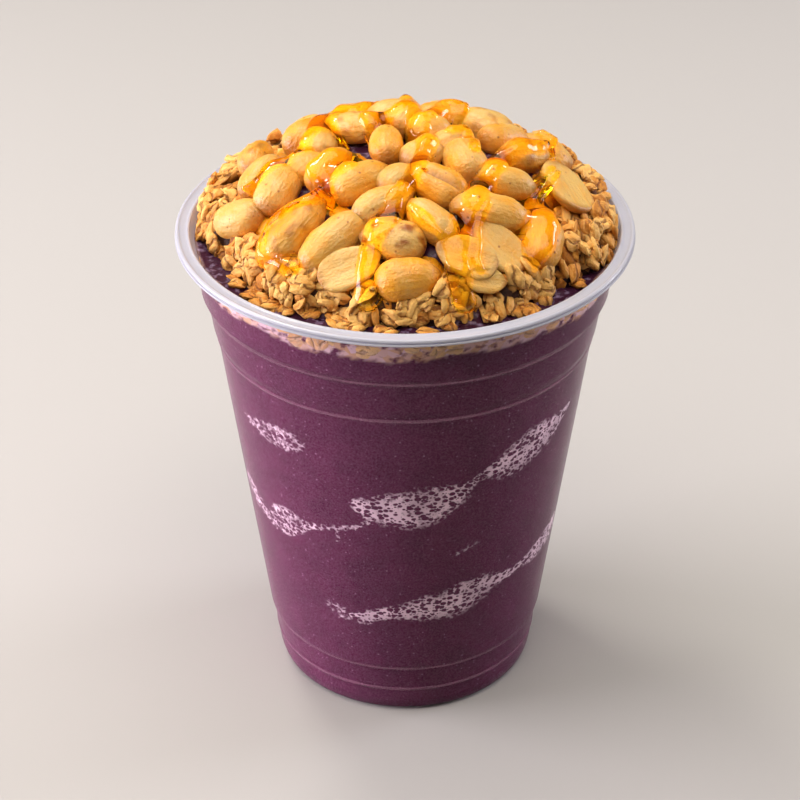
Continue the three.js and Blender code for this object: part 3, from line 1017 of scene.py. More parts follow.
FOAM_STREAKS = (
    Streak(
        (
            (-150.5, 72.3, 0.5), (-147, 71.6, 1.1), (-143, 71.8, 1.8), (-139.5, 72, 2.1),
            (-135.5, 72.4, 2.4), (-132, 72.5, 2.7), (-128.5, 72.8, 2.3), (-125.5, 73, 1.8),
            (-123, 73, 0.8),
        ),
        0.25,
    ),
    Streak(
        (
            (-26.5, 74.2, 0.3), (-29.5, 73.3, 1.0), (-33, 72.4, 1.8), (-36.5, 71.5, 2.8),
            (-40, 71, 3.5), (-44, 70.9, 4.0), (-48, 70.1, 4.2), (-52, 68.8, 4.1), (-55.5, 68, 3.3),
            (-59, 67.7, 2.2), (-62.5, 67.5, 1.4), (-65.5, 66.8, 0.9), (-68, 65.7, 0.9),
            (-70.5, 64.4, 1.5), (-73.5, 63, 2.8), (-77, 62.3, 3.5), (-80.5, 61.4, 4.2),
            (-84, 60.6, 4.7), (-88, 60, 4.8), (-92.5, 60, 4.3), (-96.5, 59.9, 3.7),
            (-100.5, 59.8, 3.1), (-104, 60.1, 2.2), (-106.5, 61.1, 0.7),
        )
    ),
    Streak(
        (
            (-165, 50.8, 1.0), (-161, 50.4, 1.6), (-157, 49.4, 2.2), (-154, 47.8, 2.2),
            (-151, 46.8, 1.4), (-147.5, 46.1, 1.2), (-144, 46.6, 1.9), (-141, 47.5, 2.9),
            (-138, 48.4, 3.4), (-135, 49, 3.3), (-132, 49.6, 2.6), (-129, 50.1, 1.8),
            (-126.5, 50.4, 1.1), (-122, 51.4, 0.7), (-117, 52.2, 0.6), (-112, 53.2, 0.5),
            (-107.5, 54, 0.5), (-104, 55.4, 0.45), (-101, 56.5, 0.6),
        ),
        0.28,
    ),
    Streak(((-113.3, 52.3, 0.45), (-113.8, 49.6, 0.4)), 0.3),
    Streak(
        (
            (-12, 38, 2.4), (-20.5, 37.5, 2.8), (-25, 37.2, 2.8), (-29.5, 36.6, 2.6),
            (-34.5, 36.1, 2.0), (-39, 36, 1.3), (-43, 35.6, 0.8), (-46, 35.3, 1.0),
            (-51, 35.3, 1.4), (-56.5, 35.3, 2.2), (-61.5, 34.5, 3.5), (-65.5, 33.7, 4.0),
            (-71, 32.7, 4.1), (-75, 32, 3.9), (-80, 31.7, 3.6), (-85, 31.3, 2.9), (-91, 30.7, 2.0),
            (-96, 30.4, 1.7), (-101.5, 29.4, 1.5), (-105.5, 28.2, 1.9), (-108, 27.9, 1.6),
            (-111, 28.2, 0.6),
        )
    ),
    Streak(((-120.5, 29.5, 1.0), (-117, 28.8, 1.7), (-114, 27.8, 1.5), (-112, 27.1, 0.7)), 0.14),
    Streak(((-73, 46.1, 0.35), (-69, 47.3, 0.5), (-64, 48.6, 0.35)), 0.16),
)


@dataclass
class Acai:
    """The frozen pulp: fills the cup into its wall, and stands up under the toppings, in mm."""

    wall: Wall
    mound: Mound
    columns: int = 320
    wall_rows: int = 170
    top_rows: int = 62
    sunk: float = 0.42
    floor: float = 2.15
    foot: float = 0.55
    depth: float = 5.6
    ripple: float = 0.35
    floor_radii: tuple[float, float, float] = (12.0, 22.0, 24.5)
    meniscus: float = 0.5
    meniscus_width: float = 1.2
    ramp_foot: float = 38.0
    ramp_slope: float = 1.1
    ring_depth: float = 4.6
    frayed: float = 1.25  # how much wider a streak is drawn, for what frays away

    def outline(self) -> Array:
        """The wall side of the pulp: out over the floor and up inside the plastic.

        Returns:
            Rows of radius and height.
        """
        heights = np.linspace(self.foot, self.mound.level, self.wall_rows)
        side = np.stack([self.wall.beaded(heights) - self.sunk, heights], axis=1)
        radii = (*self.floor_radii, side[0, 0] - 0.5)
        under = np.column_stack([radii, (self.floor, self.floor, self.foot, self.foot)])
        return np.concatenate([under, side])

    def top(self, x: Array, y: Array) -> Array:
        """Height of the open top: the rippled level, or the heap less its depth if higher.

        Args:
            x: Places to the right in mm.
            y: Places to the back in mm.

        Returns:
            Height in mm.
        """
        place = np.stack([x, y, np.zeros_like(x)], axis=-1)
        uneven = self.ripple * (waves(place, 6, 3) + 0.8 * waves(place, 2.6, 4))
        rim = self.wall.radius(self.mound.level) - self.sunk
        creep = self.meniscus * smooth(np.hypot(x, y), rim - self.meniscus_width, rim)
        ramp = self.mound.level + self.ramp_slope * (self.ramp_foot - np.hypot(x, y))
        under = np.minimum(self.mound.top(x, y) - self.depth, ramp)
        return np.maximum(self.mound.level, under) + uneven + creep

    def foam(self, points: Array) -> Array:
        """How deep each point lies in a streak: 1 on its middle line, 0 at its edge.

        The wall is unrolled at the point's own radius, and the distance to each straight
        piece of the streak is divided by the half width there.

        Args:
            points: Places on the wall.

        Returns:
            The largest value over all streaks, each kept to its density.
        """
        azimuth = np.degrees(np.arctan2(points[..., 1], points[..., 0]))
        scale = np.radians(np.hypot(points[..., 0], points[..., 1]))
        best = np.zeros(points.shape[:-1])
        for streak in FOAM_STREAKS:
            for (a0, z0, w0), (a1, z1, w1) in zip(streak.run[:-1], streak.run[1:]):
                ax, az = (azimuth - a0) * scale, points[..., 2] - z0
                bx, bz = (a1 - a0) * scale, z1 - z0
                t = np.clip((ax * bx + az * bz) / (bx**2 + bz**2 + 1e-9), 0, 1)
                away = np.hypot(ax - t * bx, az - t * bz)
                inside = 1 - away / (self.frayed * (w0 + t * (w1 - w0)))
                best = np.maximum(best, np.minimum(inside, streak.density))
        return best

    def ring(self, points: Array) -> Array:
        """1 in the ring of pressed crumbs: over a ragged edge 4.6 mm under the level.

        Args:
            points: Places on the wall.

        Returns:
            0 to 1 for each point.
        """
        azimuth = np.arctan2(points[..., 1], points[..., 0])
        edge = self.mound.level - self.ring_depth + 0.45 * np.sin(5 * azimuth + 1)
        edge = edge + 0.3 * np.sin(13 * azimuth) + 0.3 * waves(points, 2.5, 6)
        return smooth(points[..., 2], edge - 0.35, edge + 0.35)

    def build(self) -> None:
        """Turns the wall side, lays the open top over it and closes both on the axis."""
        azimuth = circle(self.columns)
        outline = self.outline()
        side = turned(outline[:, :1], outline[:, 1:], azimuth)
        share = (1 - (np.arange(self.top_rows) + 1) / (self.top_rows + 1))[:, None]
        flat = turned(outline[-1, 0] * share, 0.0, azimuth)
        flat[..., 2] = self.top(flat[..., 0], flat[..., 1])
        side[-1, :, 2] = self.top(side[-1, :, 0], side[-1, :, 1])
        middle = self.top(np.zeros(1), np.zeros(1))[0]
        grid = np.concatenate([side, flat])
        points = np.concatenate([grid.reshape(-1, 3), [[0, 0, self.floor], [0, 0, middle]]])
        wet = np.repeat([0, 0.5, 1], [len(side) - 1, 1, len(flat)])
        values = {
            "foam": np.append(self.foam(grid), [0, 0]),
            "wet": np.append(np.repeat(wet, self.columns), [0, 1]),
            "crumbs": np.append(self.ring(grid), [0, 0]),
        }
        faces = capped_faces(len(grid), self.columns)
        pulp = [FrozenAcai().material()]
        seat(make_piece("acai_fill", points, faces, pulp, values), "acai", "acai")


# ---- peanuts ------------------------------------------------------------------------


class Nut(Enum):
    """Kinds of peanut: length, width and thickness in mm, and whether it is a split half."""

    LONG = (17.0, 8.4, 7.6, False)
    WHOLE = (13.0, 8.6, 7.6, False)
    SLIM = (13.0, 7.0, 6.6, False)
    SHORT = (9.5, 7.2, 6.6, False)
    HALF = (12.5, 8.4, 4.6, True)
    BROAD = (14.5, 11.2, 5.2, True)
    CHIP = (8.2, 5.6, 4.0, True)


Place = tuple[float, float, float, Nut, float]

# Where each peanut of the open side lies: x, y, turn of its length from +X in degrees, kind,
# and how far it stands proud of the heap's surface.
NUT_PLACES: tuple[Place, ...] = (
    (-33.5, -9, 145, Nut.WHOLE, -0.5), (-25.5, -7, 68, Nut.WHOLE, 0.3), (-31, 11, 80, Nut.SLIM, 0.8),
    (-29.5, 1, 60, Nut.SLIM, 0), (-20.5, 13.5, 62, Nut.WHOLE, 0.7), (-17.5, 5, 77, Nut.SHORT, 0),
    (-10.8, 10.5, 150, Nut.SLIM, 0.8), (-11.5, 18, 5, Nut.WHOLE, 0), (-2, 16, 15, Nut.WHOLE, 1.1),
    (0, 11, 50, Nut.SHORT, 0.8), (-3.8, 0.5, 92, Nut.SLIM, 0.3), (-20, -2, 29, Nut.SHORT, -0.5),
    (-15.5, -6, 60, Nut.SLIM, 0.3), (-9, -11.5, 29, Nut.WHOLE, 0.3), (-4.5, -19, 25, Nut.SLIM, 0.2),
    (-1.8, -12, 45, Nut.SHORT, -0.5), (-22, -20.5, 40, Nut.LONG, 0.2), (-14, -24.5, 35, Nut.LONG, -0.5),
    (-2.2, -26.8, 168, Nut.WHOLE, 0), (-11, -31.8, 8, Nut.HALF, 0), (0.2, -33.8, 6, Nut.WHOLE, 0.2),
    (12.2, -30, 172, Nut.HALF, 0), (15.5, -33, 8, Nut.CHIP, 0), (18.6, -26.2, 148, Nut.HALF, -0.4),
    (16.8, -18.6, 4, Nut.LONG, 0.1), (5.2, -23, 136, Nut.SLIM, -0.2), (6.5, -13.5, 149, Nut.WHOLE, 0.3),
    (12, -4.8, 108, Nut.WHOLE, 0.3), (3.4, -4, 30, Nut.SHORT, 0.2), (8, 17, 5, Nut.SLIM, 0.4),
    (16.5, 15.5, 150, Nut.WHOLE, 0.5), (20.3, 9, 35, Nut.SLIM, 0.2), (24.5, 3, 35, Nut.SLIM, 0),
    (20, -10, 8, Nut.SLIM, 0.3), (33.0, -2.8, 115, Nut.BROAD, 0.3), (27, -21, 75, Nut.WHOLE, 0.2),
    (5, 7, 31, Nut.SHORT, 0.3), (9.5, 2.5, 32, Nut.SHORT, -0.5),
)
DEEP_CLEFT = 26  # this nut has split open along its seam
SCORCHED = 18  # and this one caught the oven's heat
# How far these nuts went from cream to golden; the others' tint is drawn.
TINTS = {0: 0.2, 1: 0.35, 12: 0.8, 13: 0.7, 16: 0.7, 17: 0.45, 20: 0.7, 24: 0.35, 34: 0.05, 35: 0.6}


def solid_draws(state: int) -> Iterator[float]:
    """The number draw of the solids, whose next state is a multiple of the last plus a constant.

    Args:
        state: Where it starts.

    Yields:
        A number from 0 to 1.
    """
    while True:
        state = (state * 1664525 + 1013904223) % 2**32
        yield state / 2**32


@dataclass
class Peanuts:
    """The heap of peanuts, with a lower layer that shows between them, in mm."""

    mound: Mound
    rows: int = 40
    columns: int = 28
    reach: float = 0.84
    spacing: float = 8.4
    seats: int = 90
    lower_seats: int = 250
    lower_reach: float = 31.0
    lower_spacing: float = 4.6
    lower_sink: float = -5.2
    cleft_width: float = 0.6
    deep_groove: float = 1.4
    germ: float = 0.5  # how far the germ's tip stands out
    # A half's cut face as shares of its half thickness: height, bend at its rim, hollow.
    cut: float = 0.25
    bend: float = 0.09
    hollow: float = 0.16
    centres: Array = field(init=False)
    axes: Array = field(init=False)
    sizes: Array = field(init=False)
    halves: Array = field(init=False)
    lower: Array = field(init=False)

    def __post_init__(self) -> None:
        """Settles every nut's place, axes and size before anything else needs them."""
        places = [*NUT_PLACES]
        places += self.hidden_places(places)
        first_lower = len(places)
        places += self.lower_places(places)
        x, y, turn, proud = (np.array([p[i] for p in places], dtype=float) for i in (0, 1, 2, 4))
        self.sizes = np.array([p[3].value[:3] for p in places])
        self.halves = np.array([p[3].value[3] for p in places])
        self.lower = np.arange(len(places)) >= first_lower
        height = self.mound.top(x, y) + proud - self.sizes[:, 2] / 2
        self.centres = np.stack([x, y, height], axis=1)
        self.axes = self.mound.axes(x, y, np.radians(turn))

    @staticmethod
    def free_seats(
        places: list[Place],
        azimuth: Array,
        reach: Array | float,
        spacing: float,
        behind: float = -math.inf,
    ) -> list[tuple[int, float, float]]:
        """Seats of a sunflower head that keep their distance: the radius grows as a root.

        Args:
            places: Nuts that are there already.
            azimuth: Direction of each seat in radians.
            reach: The head's radius there.
            spacing: Least distance to every nut and every seat taken before.
            behind: Only seats with a greater y count.

        Returns:
            Number, x and y of each seat taken.
        """
        radius = reach * np.sqrt((np.arange(len(azimuth)) + 0.5) / len(azimuth))
        taken, seats = [p[:2] for p in places], []
        for i, (x, y) in enumerate(zip(radius * np.cos(azimuth), radius * np.sin(azimuth))):
            if y > behind and all(math.hypot(px - x, py - y) > spacing for px, py in taken):
                seats.append((i, x, y))
                taken.append((x, y))
        return seats

    def hidden_places(self, places: list[Place]) -> list[Place]:
        """Peanuts at the back, with the solids' own draw for their turn and height.

        Args:
            places: Nuts that are there already.

        Returns:
            The further places.
        """
        kinds = (Nut.WHOLE, Nut.SLIM, Nut.LONG, Nut.WHOLE, Nut.SHORT)
        azimuth = np.arange(self.seats) * GOLDEN_ANGLE
        reach = self.mound.reach(np.cos(azimuth), np.sin(azimuth)) * self.reach
        draw = solid_draws(907)
        seats = self.free_seats(places, azimuth, reach, self.spacing, behind=0.0)
        return [
            (x, y, next(draw) * 180, kinds[i % len(kinds)], 0.6 * next(draw) - 0.9)
            for i, x, y in seats
        ]

    def lower_places(self, places: list[Place]) -> list[Place]:
        """Short peanuts sunk in the gaps, well away from every upper one.

        Args:
            places: Nuts that are there already.

        Returns:
            The further places.
        """
        azimuth = 1.0 + np.arange(self.lower_seats) * GOLDEN_ANGLE
        seats = self.free_seats(places, azimuth, self.lower_reach, self.lower_spacing)
        return [(x, y, 47.0 * i % 180, Nut.SHORT, self.lower_sink) for i, x, y in seats]

    @staticmethod
    def taper(x: Array) -> Array:
        """How wide a nut is along its length: 1 - 0.08 x, and a little wider in the middle."""
        return (1 - 0.08 * x) * (0.98 + 0.04 * (1 - x**2))

    def shaped(self, which: Array) -> tuple[Array, dict[str, Array]]:
        """The surfaces of some of the nuts.

        Each is an egg on a grid of length and angle: its radius is the root of 1 - x^2.5,
        narrowed by its taper. A groove follows the seam and fades before the germ, the germ
        raises that tip, waves of a few millimetres dent the flesh, and a half's cut face is a
        soft plane with a shallow hollow.

        Args:
            which: Numbers of the nuts.

        Returns:
            Points of each nut with its two poles last, and their values.
        """
        draw = np.random.default_rng(51)
        count = len(self.centres)
        seam = draw.uniform(0, TURN, count)
        seam[DEEP_CLEFT] = 6 * TURN / self.columns  # on a column of points, so that it stays sharp
        groove = draw.uniform(0.1, 0.4, count)
        groove[DEEP_CLEFT] = self.deep_groove
        tint = draw.uniform(0.1, 0.75, count)
        tint[self.halves] *= 0.3
        tint[list(TINTS)] = list(TINTS.values())
        # Painted shade: the lower layer is drawn more golden and toasted, for the shade it lies in.
        tint[self.lower] += 0.6
        scorch = np.zeros(count)
        scorch[SCORCHED] = 1.0
        scorch[draw.integers(0, count, 12)] = 0.5
        seam, groove = seam[which, None, None], groove[which, None, None]
        x = -np.cos(math.pi * (np.arange(self.rows) + 1) / (self.rows + 1))[None, :, None]
        around = circle(self.columns)[None, None, :]
        length, width, thick = (self.sizes[which, i][:, None, None] for i in range(3))
        off = np.abs((around - seam + math.pi) % TURN - math.pi) * width / 2
        cleft = groove * np.exp(-((off / self.cleft_width) ** 2))
        cleft = cleft * (1 - x**6) * (1 - smooth(x, 0.3, 0.8))
        body = np.sqrt(1 - np.abs(x) ** 2.5) * (1 - 2 * cleft / width)
        y, z = body * np.cos(around), body * np.sin(around)
        # The soft least of a nut's height and its cut.
        flat = self.cut - self.bend * np.logaddexp(0, (self.cut - z) / self.bend)
        hollow = self.hollow * (1 - x**2) * np.clip(1 - (y / 0.6) ** 2, 0, 1) * (z > 0.2)
        z = np.where(self.halves[which, None, None], flat - hollow, z)
        germ = self.germ * np.exp(-((1 - x) / 0.05))
        taper = self.taper(x)
        axes = (x * length / 2 + germ, y * width * taper / 2, z * thick * taper / 2)
        local = np.stack(np.broadcast_arrays(*axes), axis=-1).reshape(len(which), -1, 3)
        ends = np.zeros((len(which), 2, 3))
        ends[:, 0, 0], ends[:, 1, 0] = -length[:, 0, 0] / 2, length[:, 0, 0] / 2 + self.germ
        local = np.concatenate([local, ends], axis=1)
        shift = 40.0 * np.asarray(which)[:, None, None]
        outward = local / np.linalg.norm(local + 1e-9, axis=-1, keepdims=True)
        dents = 0.16 * waves(local + shift, 6, 8) + 0.05 * waves(local + shift, 1.8, 9)
        local = local + outward * dents[..., None]
        tip = np.clip(np.abs(local[..., 0]) / (length[:, :, 0] / 2) - 0.72, 0, 0.28) * 2.4
        scorch_and_cleft_shade = scorch[which, None] * smooth(waves(local + shift, 3.5, 10), 0.0, 0.8)
        # Painted shade: a seam's groove is darkened like a scorch, for the shade in it.
        shaded = 0.45 * np.broadcast_to(cleft, y.shape).reshape(len(which), -1)
        scorch_and_cleft_shade[:, :-2] = np.maximum(scorch_and_cleft_shade[:, :-2], shaded)
        values = {"tint": tint[which, None] + 0 * tip, "tip": tip, "scorch_and_cleft_shade": scorch_and_cleft_shade, "own": local + shift}
        return laid(local, self.centres[which], self.axes[which]), values

    def inside(self, points: Array, number: int) -> Array:
        """Signed measure of how far points lie in a nut's plain shape: below 0 is inside.

        Args:
            points: Places in mm.
            number: Which nut.

        Returns:
            The ellipsoid's level, or a half's cut plane where that is greater.
        """
        length, width, thick = self.sizes[number]
        local = (points - self.centres[number]) @ self.axes[number].T
        x = 2 * local[..., 0] / length
        taper = np.maximum(self.taper(x), 0.4)
        z = 2 * local[..., 2] / (thick * taper)
        level = np.abs(x) ** 2.5 + (2 * local[..., 1] / (width * taper)) ** 2 + z**2 - 1
        return np.maximum(level, z - self.cut) if self.halves[number] else level

    def build(self) -> None:
        """Makes whole nuts, and halves with the lower layer, as two pieces."""
        flesh = [BlanchedPeanut().material()]
        low = self.halves | self.lower
        for name, chosen in (("peanuts_whole", ~low), ("peanuts_halves", low)):
            points, values = self.shaped(np.flatnonzero(chosen))
            faces = repeated(capped_faces(self.rows, self.columns), *points.shape[:2])
            seat(make_piece(name, points, faces, flesh, values), "peanuts", "peanuts")


# ---- granola ------------------------------------------------------------------------


class Flakes(NamedTuple):
    """Flakes in their places, with one row for each flake and one column for each point."""

    points: Array  # places in mm
    edge: Array  # 0 in the middle to 1 on the rim
    tint: Array  # 0 pale to 1 dark; in the heap, higher and front flakes are paler as painted light
    deep: Array  # 1 down between other flakes, where they are drawn dark as painted shade
    frost: Array  # 1 where it is pressed on the cold wall
    own: Array  # mm along, across and up from its middle

    def only(self, kept: Array) -> "Flakes":
        """The flakes for which kept is true."""
        return Flakes(*(part[kept] for part in self))


@dataclass
class Granola:
    """Oat flakes heaped round the peanuts and pressed on the wall, on a toasted core, in mm."""

    wall: Wall
    mound: Mound
    peanuts: Peanuts
    heap_flakes: int = 860
    band_flakes: int = 219
    stray_flakes: int = 38
    crumbs: int = 260
    flake_columns: int = 14
    flake_rings: tuple[float, ...] = (0.62, 1.0, 0.9, 0.64, 0.32)
    flake_size: tuple[float, float, float] = (5.4, 4.3, 2.4)
    inner_share: float = 0.74
    among_depth: float = 5.0
    least_height: float = 105.2
    side_foot: float = 42.9
    front_foot: float = 38.4
    front_azimuth: float = -100.0
    front_spread: tuple[float, float] = (58.0, 84.0)  # open up to the first angle, closed from the second
    cliff: float = 1.6
    inward_steps: float = 1.25
    # Heights over the surface across which the painted shade between flakes fades out.
    gap_floor: float = -1.3
    gap_top: float = 0.9
    lean: float = 0.42
    off_nuts: float = 0.12
    rim_room: float = 43.9  # how far out flakes may reach over the wall, and those in front
    front_room: float = 43.2
    core_columns: int = 240
    core_rows: int = 14
    core_inset: float = 1.3
    core_under: float = 1.7
    core_thickness: float = 5.2
    core_bottom: float = 102.0
    small: float = 0.8  # size of the pressed and the single flakes against a full one
    stray_spread: tuple[float, float] = (-150.0, -30.0)
    stray_radii: tuple[float, float] = (37.4, 41.4)
    band_top: float = 103.9
    band_step: float = 1.9
    band_kept: tuple[float, float, float] = (0.7, 0.5, 0.0)  # share that stays, row by row
    band_radius: float = 42.5

    def foot(self, azimuth: Array) -> Array:
        """Where the open granola ends: short of the wall in front, near it elsewhere.

        Args:
            azimuth: Directions in radians.

        Returns:
            Radius in mm.
        """
        away = np.abs((np.degrees(azimuth) - self.front_azimuth + 180) % 360 - 180)
        open_front = 1 - smooth(away, *self.front_spread)
        ragged = 0.7 * np.sin(9 * azimuth) + 0.5 * np.sin(16 * azimuth + 2)
        return self.side_foot - (self.side_foot - self.front_foot + ragged) * open_front

    def surface(self, x: Array, y: Array) -> Array:
        """Height of the granola: the heap less 1.5 mm, and 5 mm lower among the peanuts.

        Args:
            x: Places to the right in mm.
            y: Places to the back in mm.

        Returns:
            Height in mm.
        """
        sunk = self.among_depth * (1 - smooth(self.mound.share(x, y), 0.78, 0.93))
        height = self.mound.top(x, y) - self.mound.granola_depth - sunk
        return np.maximum(height, self.least_height)

    @staticmethod
    def keep_within(points: Array, room: Array | float) -> None:
        """Moves points towards the axis, in place, so that none lies further out than room."""
        far = np.hypot(points[..., 0], points[..., 1])
        points[..., :2] *= np.minimum(1, room / far)[..., None]

    def build_core(self) -> None:
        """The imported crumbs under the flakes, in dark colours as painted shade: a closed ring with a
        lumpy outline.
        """
        azimuth = circle(self.core_columns)
        foot = self.foot(azimuth) - self.core_inset
        inner = self.mound.reach(np.cos(azimuth), np.sin(azimuth)) * self.inner_share
        share = np.linspace(0, 1, self.core_rows)[:, None]
        over = turned(inner + (foot - inner) * share, 0.0, azimuth)
        over[..., 2] = self.surface(over[..., 0], over[..., 1]) - self.core_under
        under = over.copy()
        under[..., 2] = np.maximum(over[..., 2] - self.core_thickness, self.core_bottom)
        heights = (self.core_bottom + 0.5, self.core_bottom + 2.5)
        side = [turned(foot + 0.5, height, azimuth)[None] for height in heights]
        loop = np.concatenate([under, *side, over[::-1]])
        loop[..., 2] += 0.55 * waves(loop, 4.5, 21) + 0.25 * waves(loop, 1.7, 22)
        points = loop.reshape(-1, 3)
        values = dict.fromkeys(("edge", "deep", "frost"), np.zeros(len(points)))
        values |= {"tint": 0.85 + 0.3 * waves(points, 5, 23), "own": points}
        faces = [grid_faces(len(loop), self.core_columns, closed_rows=True)]
        # The core is dressed in painted shade: dark oat colours for what lies down between the flakes.
        core = make_piece("granola_core", points, faces, [CrumbsInPaintedShade().material()], values)
        seat(core, "granola", "granola")

    def flakes(self, count: int, seed: int, scale: float = 1.0) -> tuple[Array, Array]:
        """Flakes at the origin, each with its own shape.

        A flake is a thin oval on a polar grid: five rings from the middle of its underside
        over the rim to the middle of its top. Low waves and a notch make its outline ragged,
        a crease runs along its top, its sides curl up and its length bends.

        Args:
            count: How many.
            seed: Which draw.
            scale: Size against a full flake.

        Returns:
            Points of each flake with its two poles last, and how near the rim each lies.
        """
        draw = partial(np.random.default_rng(seed).uniform, size=(count, 1, 1))
        length, width, thick = (size * scale * draw(0.72, 1.18) / 2 for size in self.flake_size)
        angle = circle(self.flake_columns)[None, None, :]
        rho = np.array(self.flake_rings)[None, :, None]
        upper = np.array([-1, 0, 1, 1, 1])[None, :, None]
        ragged = sum(draw(0.02, 0.12) * np.cos(k * angle + draw(0, TURN)) for k in (2, 3, 5))
        off = (angle - draw(0, TURN) + math.pi) % TURN - math.pi
        notch = draw(0.0, 0.42) * np.exp(-((off / 0.28) ** 2))
        rim = rho * (1 + ragged - notch * rho**2)
        x, y = rim * np.cos(angle), rim * np.sin(angle)
        crease = draw(0.2, 0.75) * np.exp(-((y / 0.16) ** 2)) * (1 - rho**4)
        z = upper * (1 - rho**2.5) * 0.9 - crease * (upper > 0)
        ends = np.zeros((count, 2, 3))
        ends[:, 0, 2] = -0.9
        ends[:, 1, 2] = 0.9 - crease[:, -1].max(axis=1)
        shape = np.stack(np.broadcast_arrays(x, y, z), axis=-1).reshape(count, -1, 3)
        shape = np.concatenate([shape, ends], axis=1)
        x, y, z = np.split(shape, 3, axis=-1)
        crinkle = 0.28 * waves(shape * 3 + 30 * np.arange(count)[:, None, None], 3.2, seed)
        z = z * thick + (draw(-0.2, 0.7) * y**2 - draw(-0.2, 0.6) * x**2) * scale
        z = z + crinkle[..., None] * scale
        edge = np.append(np.repeat(self.flake_rings, self.flake_columns), [0, 0])
        own = np.concatenate([x * length, y * width, z], axis=-1)
        return own, np.broadcast_to(edge, own.shape[:2])

    def heaped(self, count: int, seed: int, scale: float, low: float, high: float) -> Flakes:
        """Flakes laid at random on the open granola, leaning on each other.

        Args:
            count: How many are tried; those whose middle is in a peanut are left out.
            seed: Which draw.
            scale: Size against a full flake.
            low: Least height of a flake's middle over the granola's surface.
            high: Greatest height.

        Returns:
            The flakes.
        """
        draw = np.random.default_rng(seed)
        # Steps by the powers of 0.819 fill three measures evenly, so no spot is left bare.
        order = np.arange(count)[:, None] * np.array([0.8191725, 0.6710436, 0.5497005])
        even = (order + draw.uniform(0, 0.04, (count, 3))) % 1
        azimuth = (even[:, 0] * 2 - 1) * math.pi
        ray = turned(1.0, 0.0, azimuth)
        foot = self.foot(azimuth) - 0.4
        inner = self.inner_share * self.mound.reach(ray[:, 0], ray[:, 1])
        # The way runs up the cliff at the foot, then inwards, where each step counts for more.
        shoulder = foot - self.cliff
        crest = self.surface(shoulder * ray[:, 0], shoulder * ray[:, 1])
        drop = np.hypot(self.cliff, crest - self.mound.level)
        way = even[:, 1] * (drop + self.inward_steps * (shoulder - inner))
        fallen = np.clip(1 - way / drop, 0, 1)
        inwards = np.maximum(way - drop, 0) / self.inward_steps
        radius = shoulder + self.cliff * fallen - inwards
        x, y = radius * ray[:, 0], radius * ray[:, 1]
        top = np.where(fallen > 0, crest, self.surface(x, y))
        base = np.stack([x, y, top + (self.mound.level + 0.6 - crest) * fallen], axis=1)
        axes = self.mound.axes(x, y, draw.uniform(0, TURN, count))
        steep = smooth(fallen, 0.0, 0.4)[:, None]
        axes = upright(axes[:, 0], axes[:, 2] * (1 - steep) + (ray + [0, 0, 0.45]) * steep)
        lift = low + even[:, 2] * (high - low)
        middle = base + axes[:, 2] * lift[:, None]
        nuts = range(len(self.peanuts.centres))
        free = np.all([self.peanuts.inside(middle, i) > self.off_nuts for i in nuts], axis=0)
        lean = draw.normal(0, self.lean, (count, 2))
        out = axes[:, 2] + axes[:, 0] * lean[:, :1] + axes[:, 1] * lean[:, 1:]
        own, edge = self.flakes(count, seed + 1, scale)
        points = laid(own, middle, upright(axes[:, 0], out))
        # Painted shade: parts of a flake that lie low among the others are marked to be drawn dark.
        proud = ((points - base[:, None]) * axes[:, None, 2]).sum(-1)
        deep = 1 - smooth(proud, self.gap_floor, self.gap_top)
        # Painted light: higher flakes, and those towards the front, are drawn paler, as if better lit.
        painted_light = 0.15 * lift + 0.35 * smooth(-y, 18, 36)
        tint = draw.uniform(0.0, 0.8, (count, 1)) - painted_light[:, None] + 0 * edge
        room = self.wall.radius(points[..., 2]) - self.wall.thickness - 0.05
        over_wall = points[..., 2] > self.mound.level - 0.5
        self.keep_within(points, np.where(over_wall, self.rim_room, room))
        return Flakes(points, edge, tint, deep, 0 * deep, own).only(free)

    def strewn(self) -> Flakes:
        """Single flakes that lie flat on the open acai in front, short of the wall.

        Returns:
            The flakes.
        """
        draw = np.random.default_rng(77)
        count = self.stray_flakes
        azimuth = np.radians(draw.uniform(*self.stray_spread, count))
        radius = draw.uniform(*self.stray_radii, count)
        turn = draw.uniform(0, TURN, count)
        middle = turned(radius, self.mound.level + 0.45, azimuth)
        along = np.stack([np.cos(turn), np.sin(turn), draw.normal(0, 0.2, count)], axis=1)
        along /= np.linalg.norm(along, axis=1, keepdims=True)
        across = np.stack([-np.sin(turn), np.cos(turn), 0 * turn], axis=1)
        own, edge = self.flakes(count, 78, self.small)
        points = laid(own, middle, np.stack([along, across, np.cross(along, across)], axis=1))
        self.keep_within(points, self.front_room)
        tint = draw.uniform(0.1, 0.7, (count, 1)) + 0 * edge
        # Painted shade: a flake is drawn darker where it lies low on the acai.
        deep = 0.7 * (1 - smooth(points[..., 2] - self.mound.level, 0.0, 1.0))
        return Flakes(points, edge, tint, deep, 0 * deep, own)

    def pressed(self) -> Flakes:
        """Flakes pressed flat on the wall under the rim: bent round it, outer faces in it.

        Returns:
            The flakes.
        """
        draw = np.random.default_rng(91)
        count = self.band_flakes
        rows = len(self.band_kept)
        number, row = np.divmod(np.arange(count), rows)
        number = number + 0.5 * (row == 1) + draw.normal(0, 0.22, count)
        azimuth = number * (rows * TURN / count)
        height = self.band_top - self.band_step * row + draw.normal(0, 0.35, count)
        turn = draw.normal(0, 0.6, count)
        own, edge = self.flakes(count, 92, self.small)
        along, across, up = np.moveaxis(own, -1, 0)
        cos, sin = np.cos(turn)[:, None], np.sin(turn)[:, None]
        run, rise = along * cos - across * sin, along * sin + across * cos
        z = height[:, None] + rise
        depth = 0.34 + 0.14 * (up.max(axis=1, keepdims=True) - up)
        radius = self.wall.radius(np.minimum(z, self.wall.outer[-1][1])) - depth
        points = turned(radius, z, azimuth[:, None] + run / self.band_radius)
        kept = draw.uniform(0, 1, count) < np.array(self.band_kept)[row]
        tint = draw.uniform(0.0, 0.7, (count, 1)) + 0 * edge
        return Flakes(points, edge, tint, 0 * tint, 0 * tint + 1, own).only(kept)

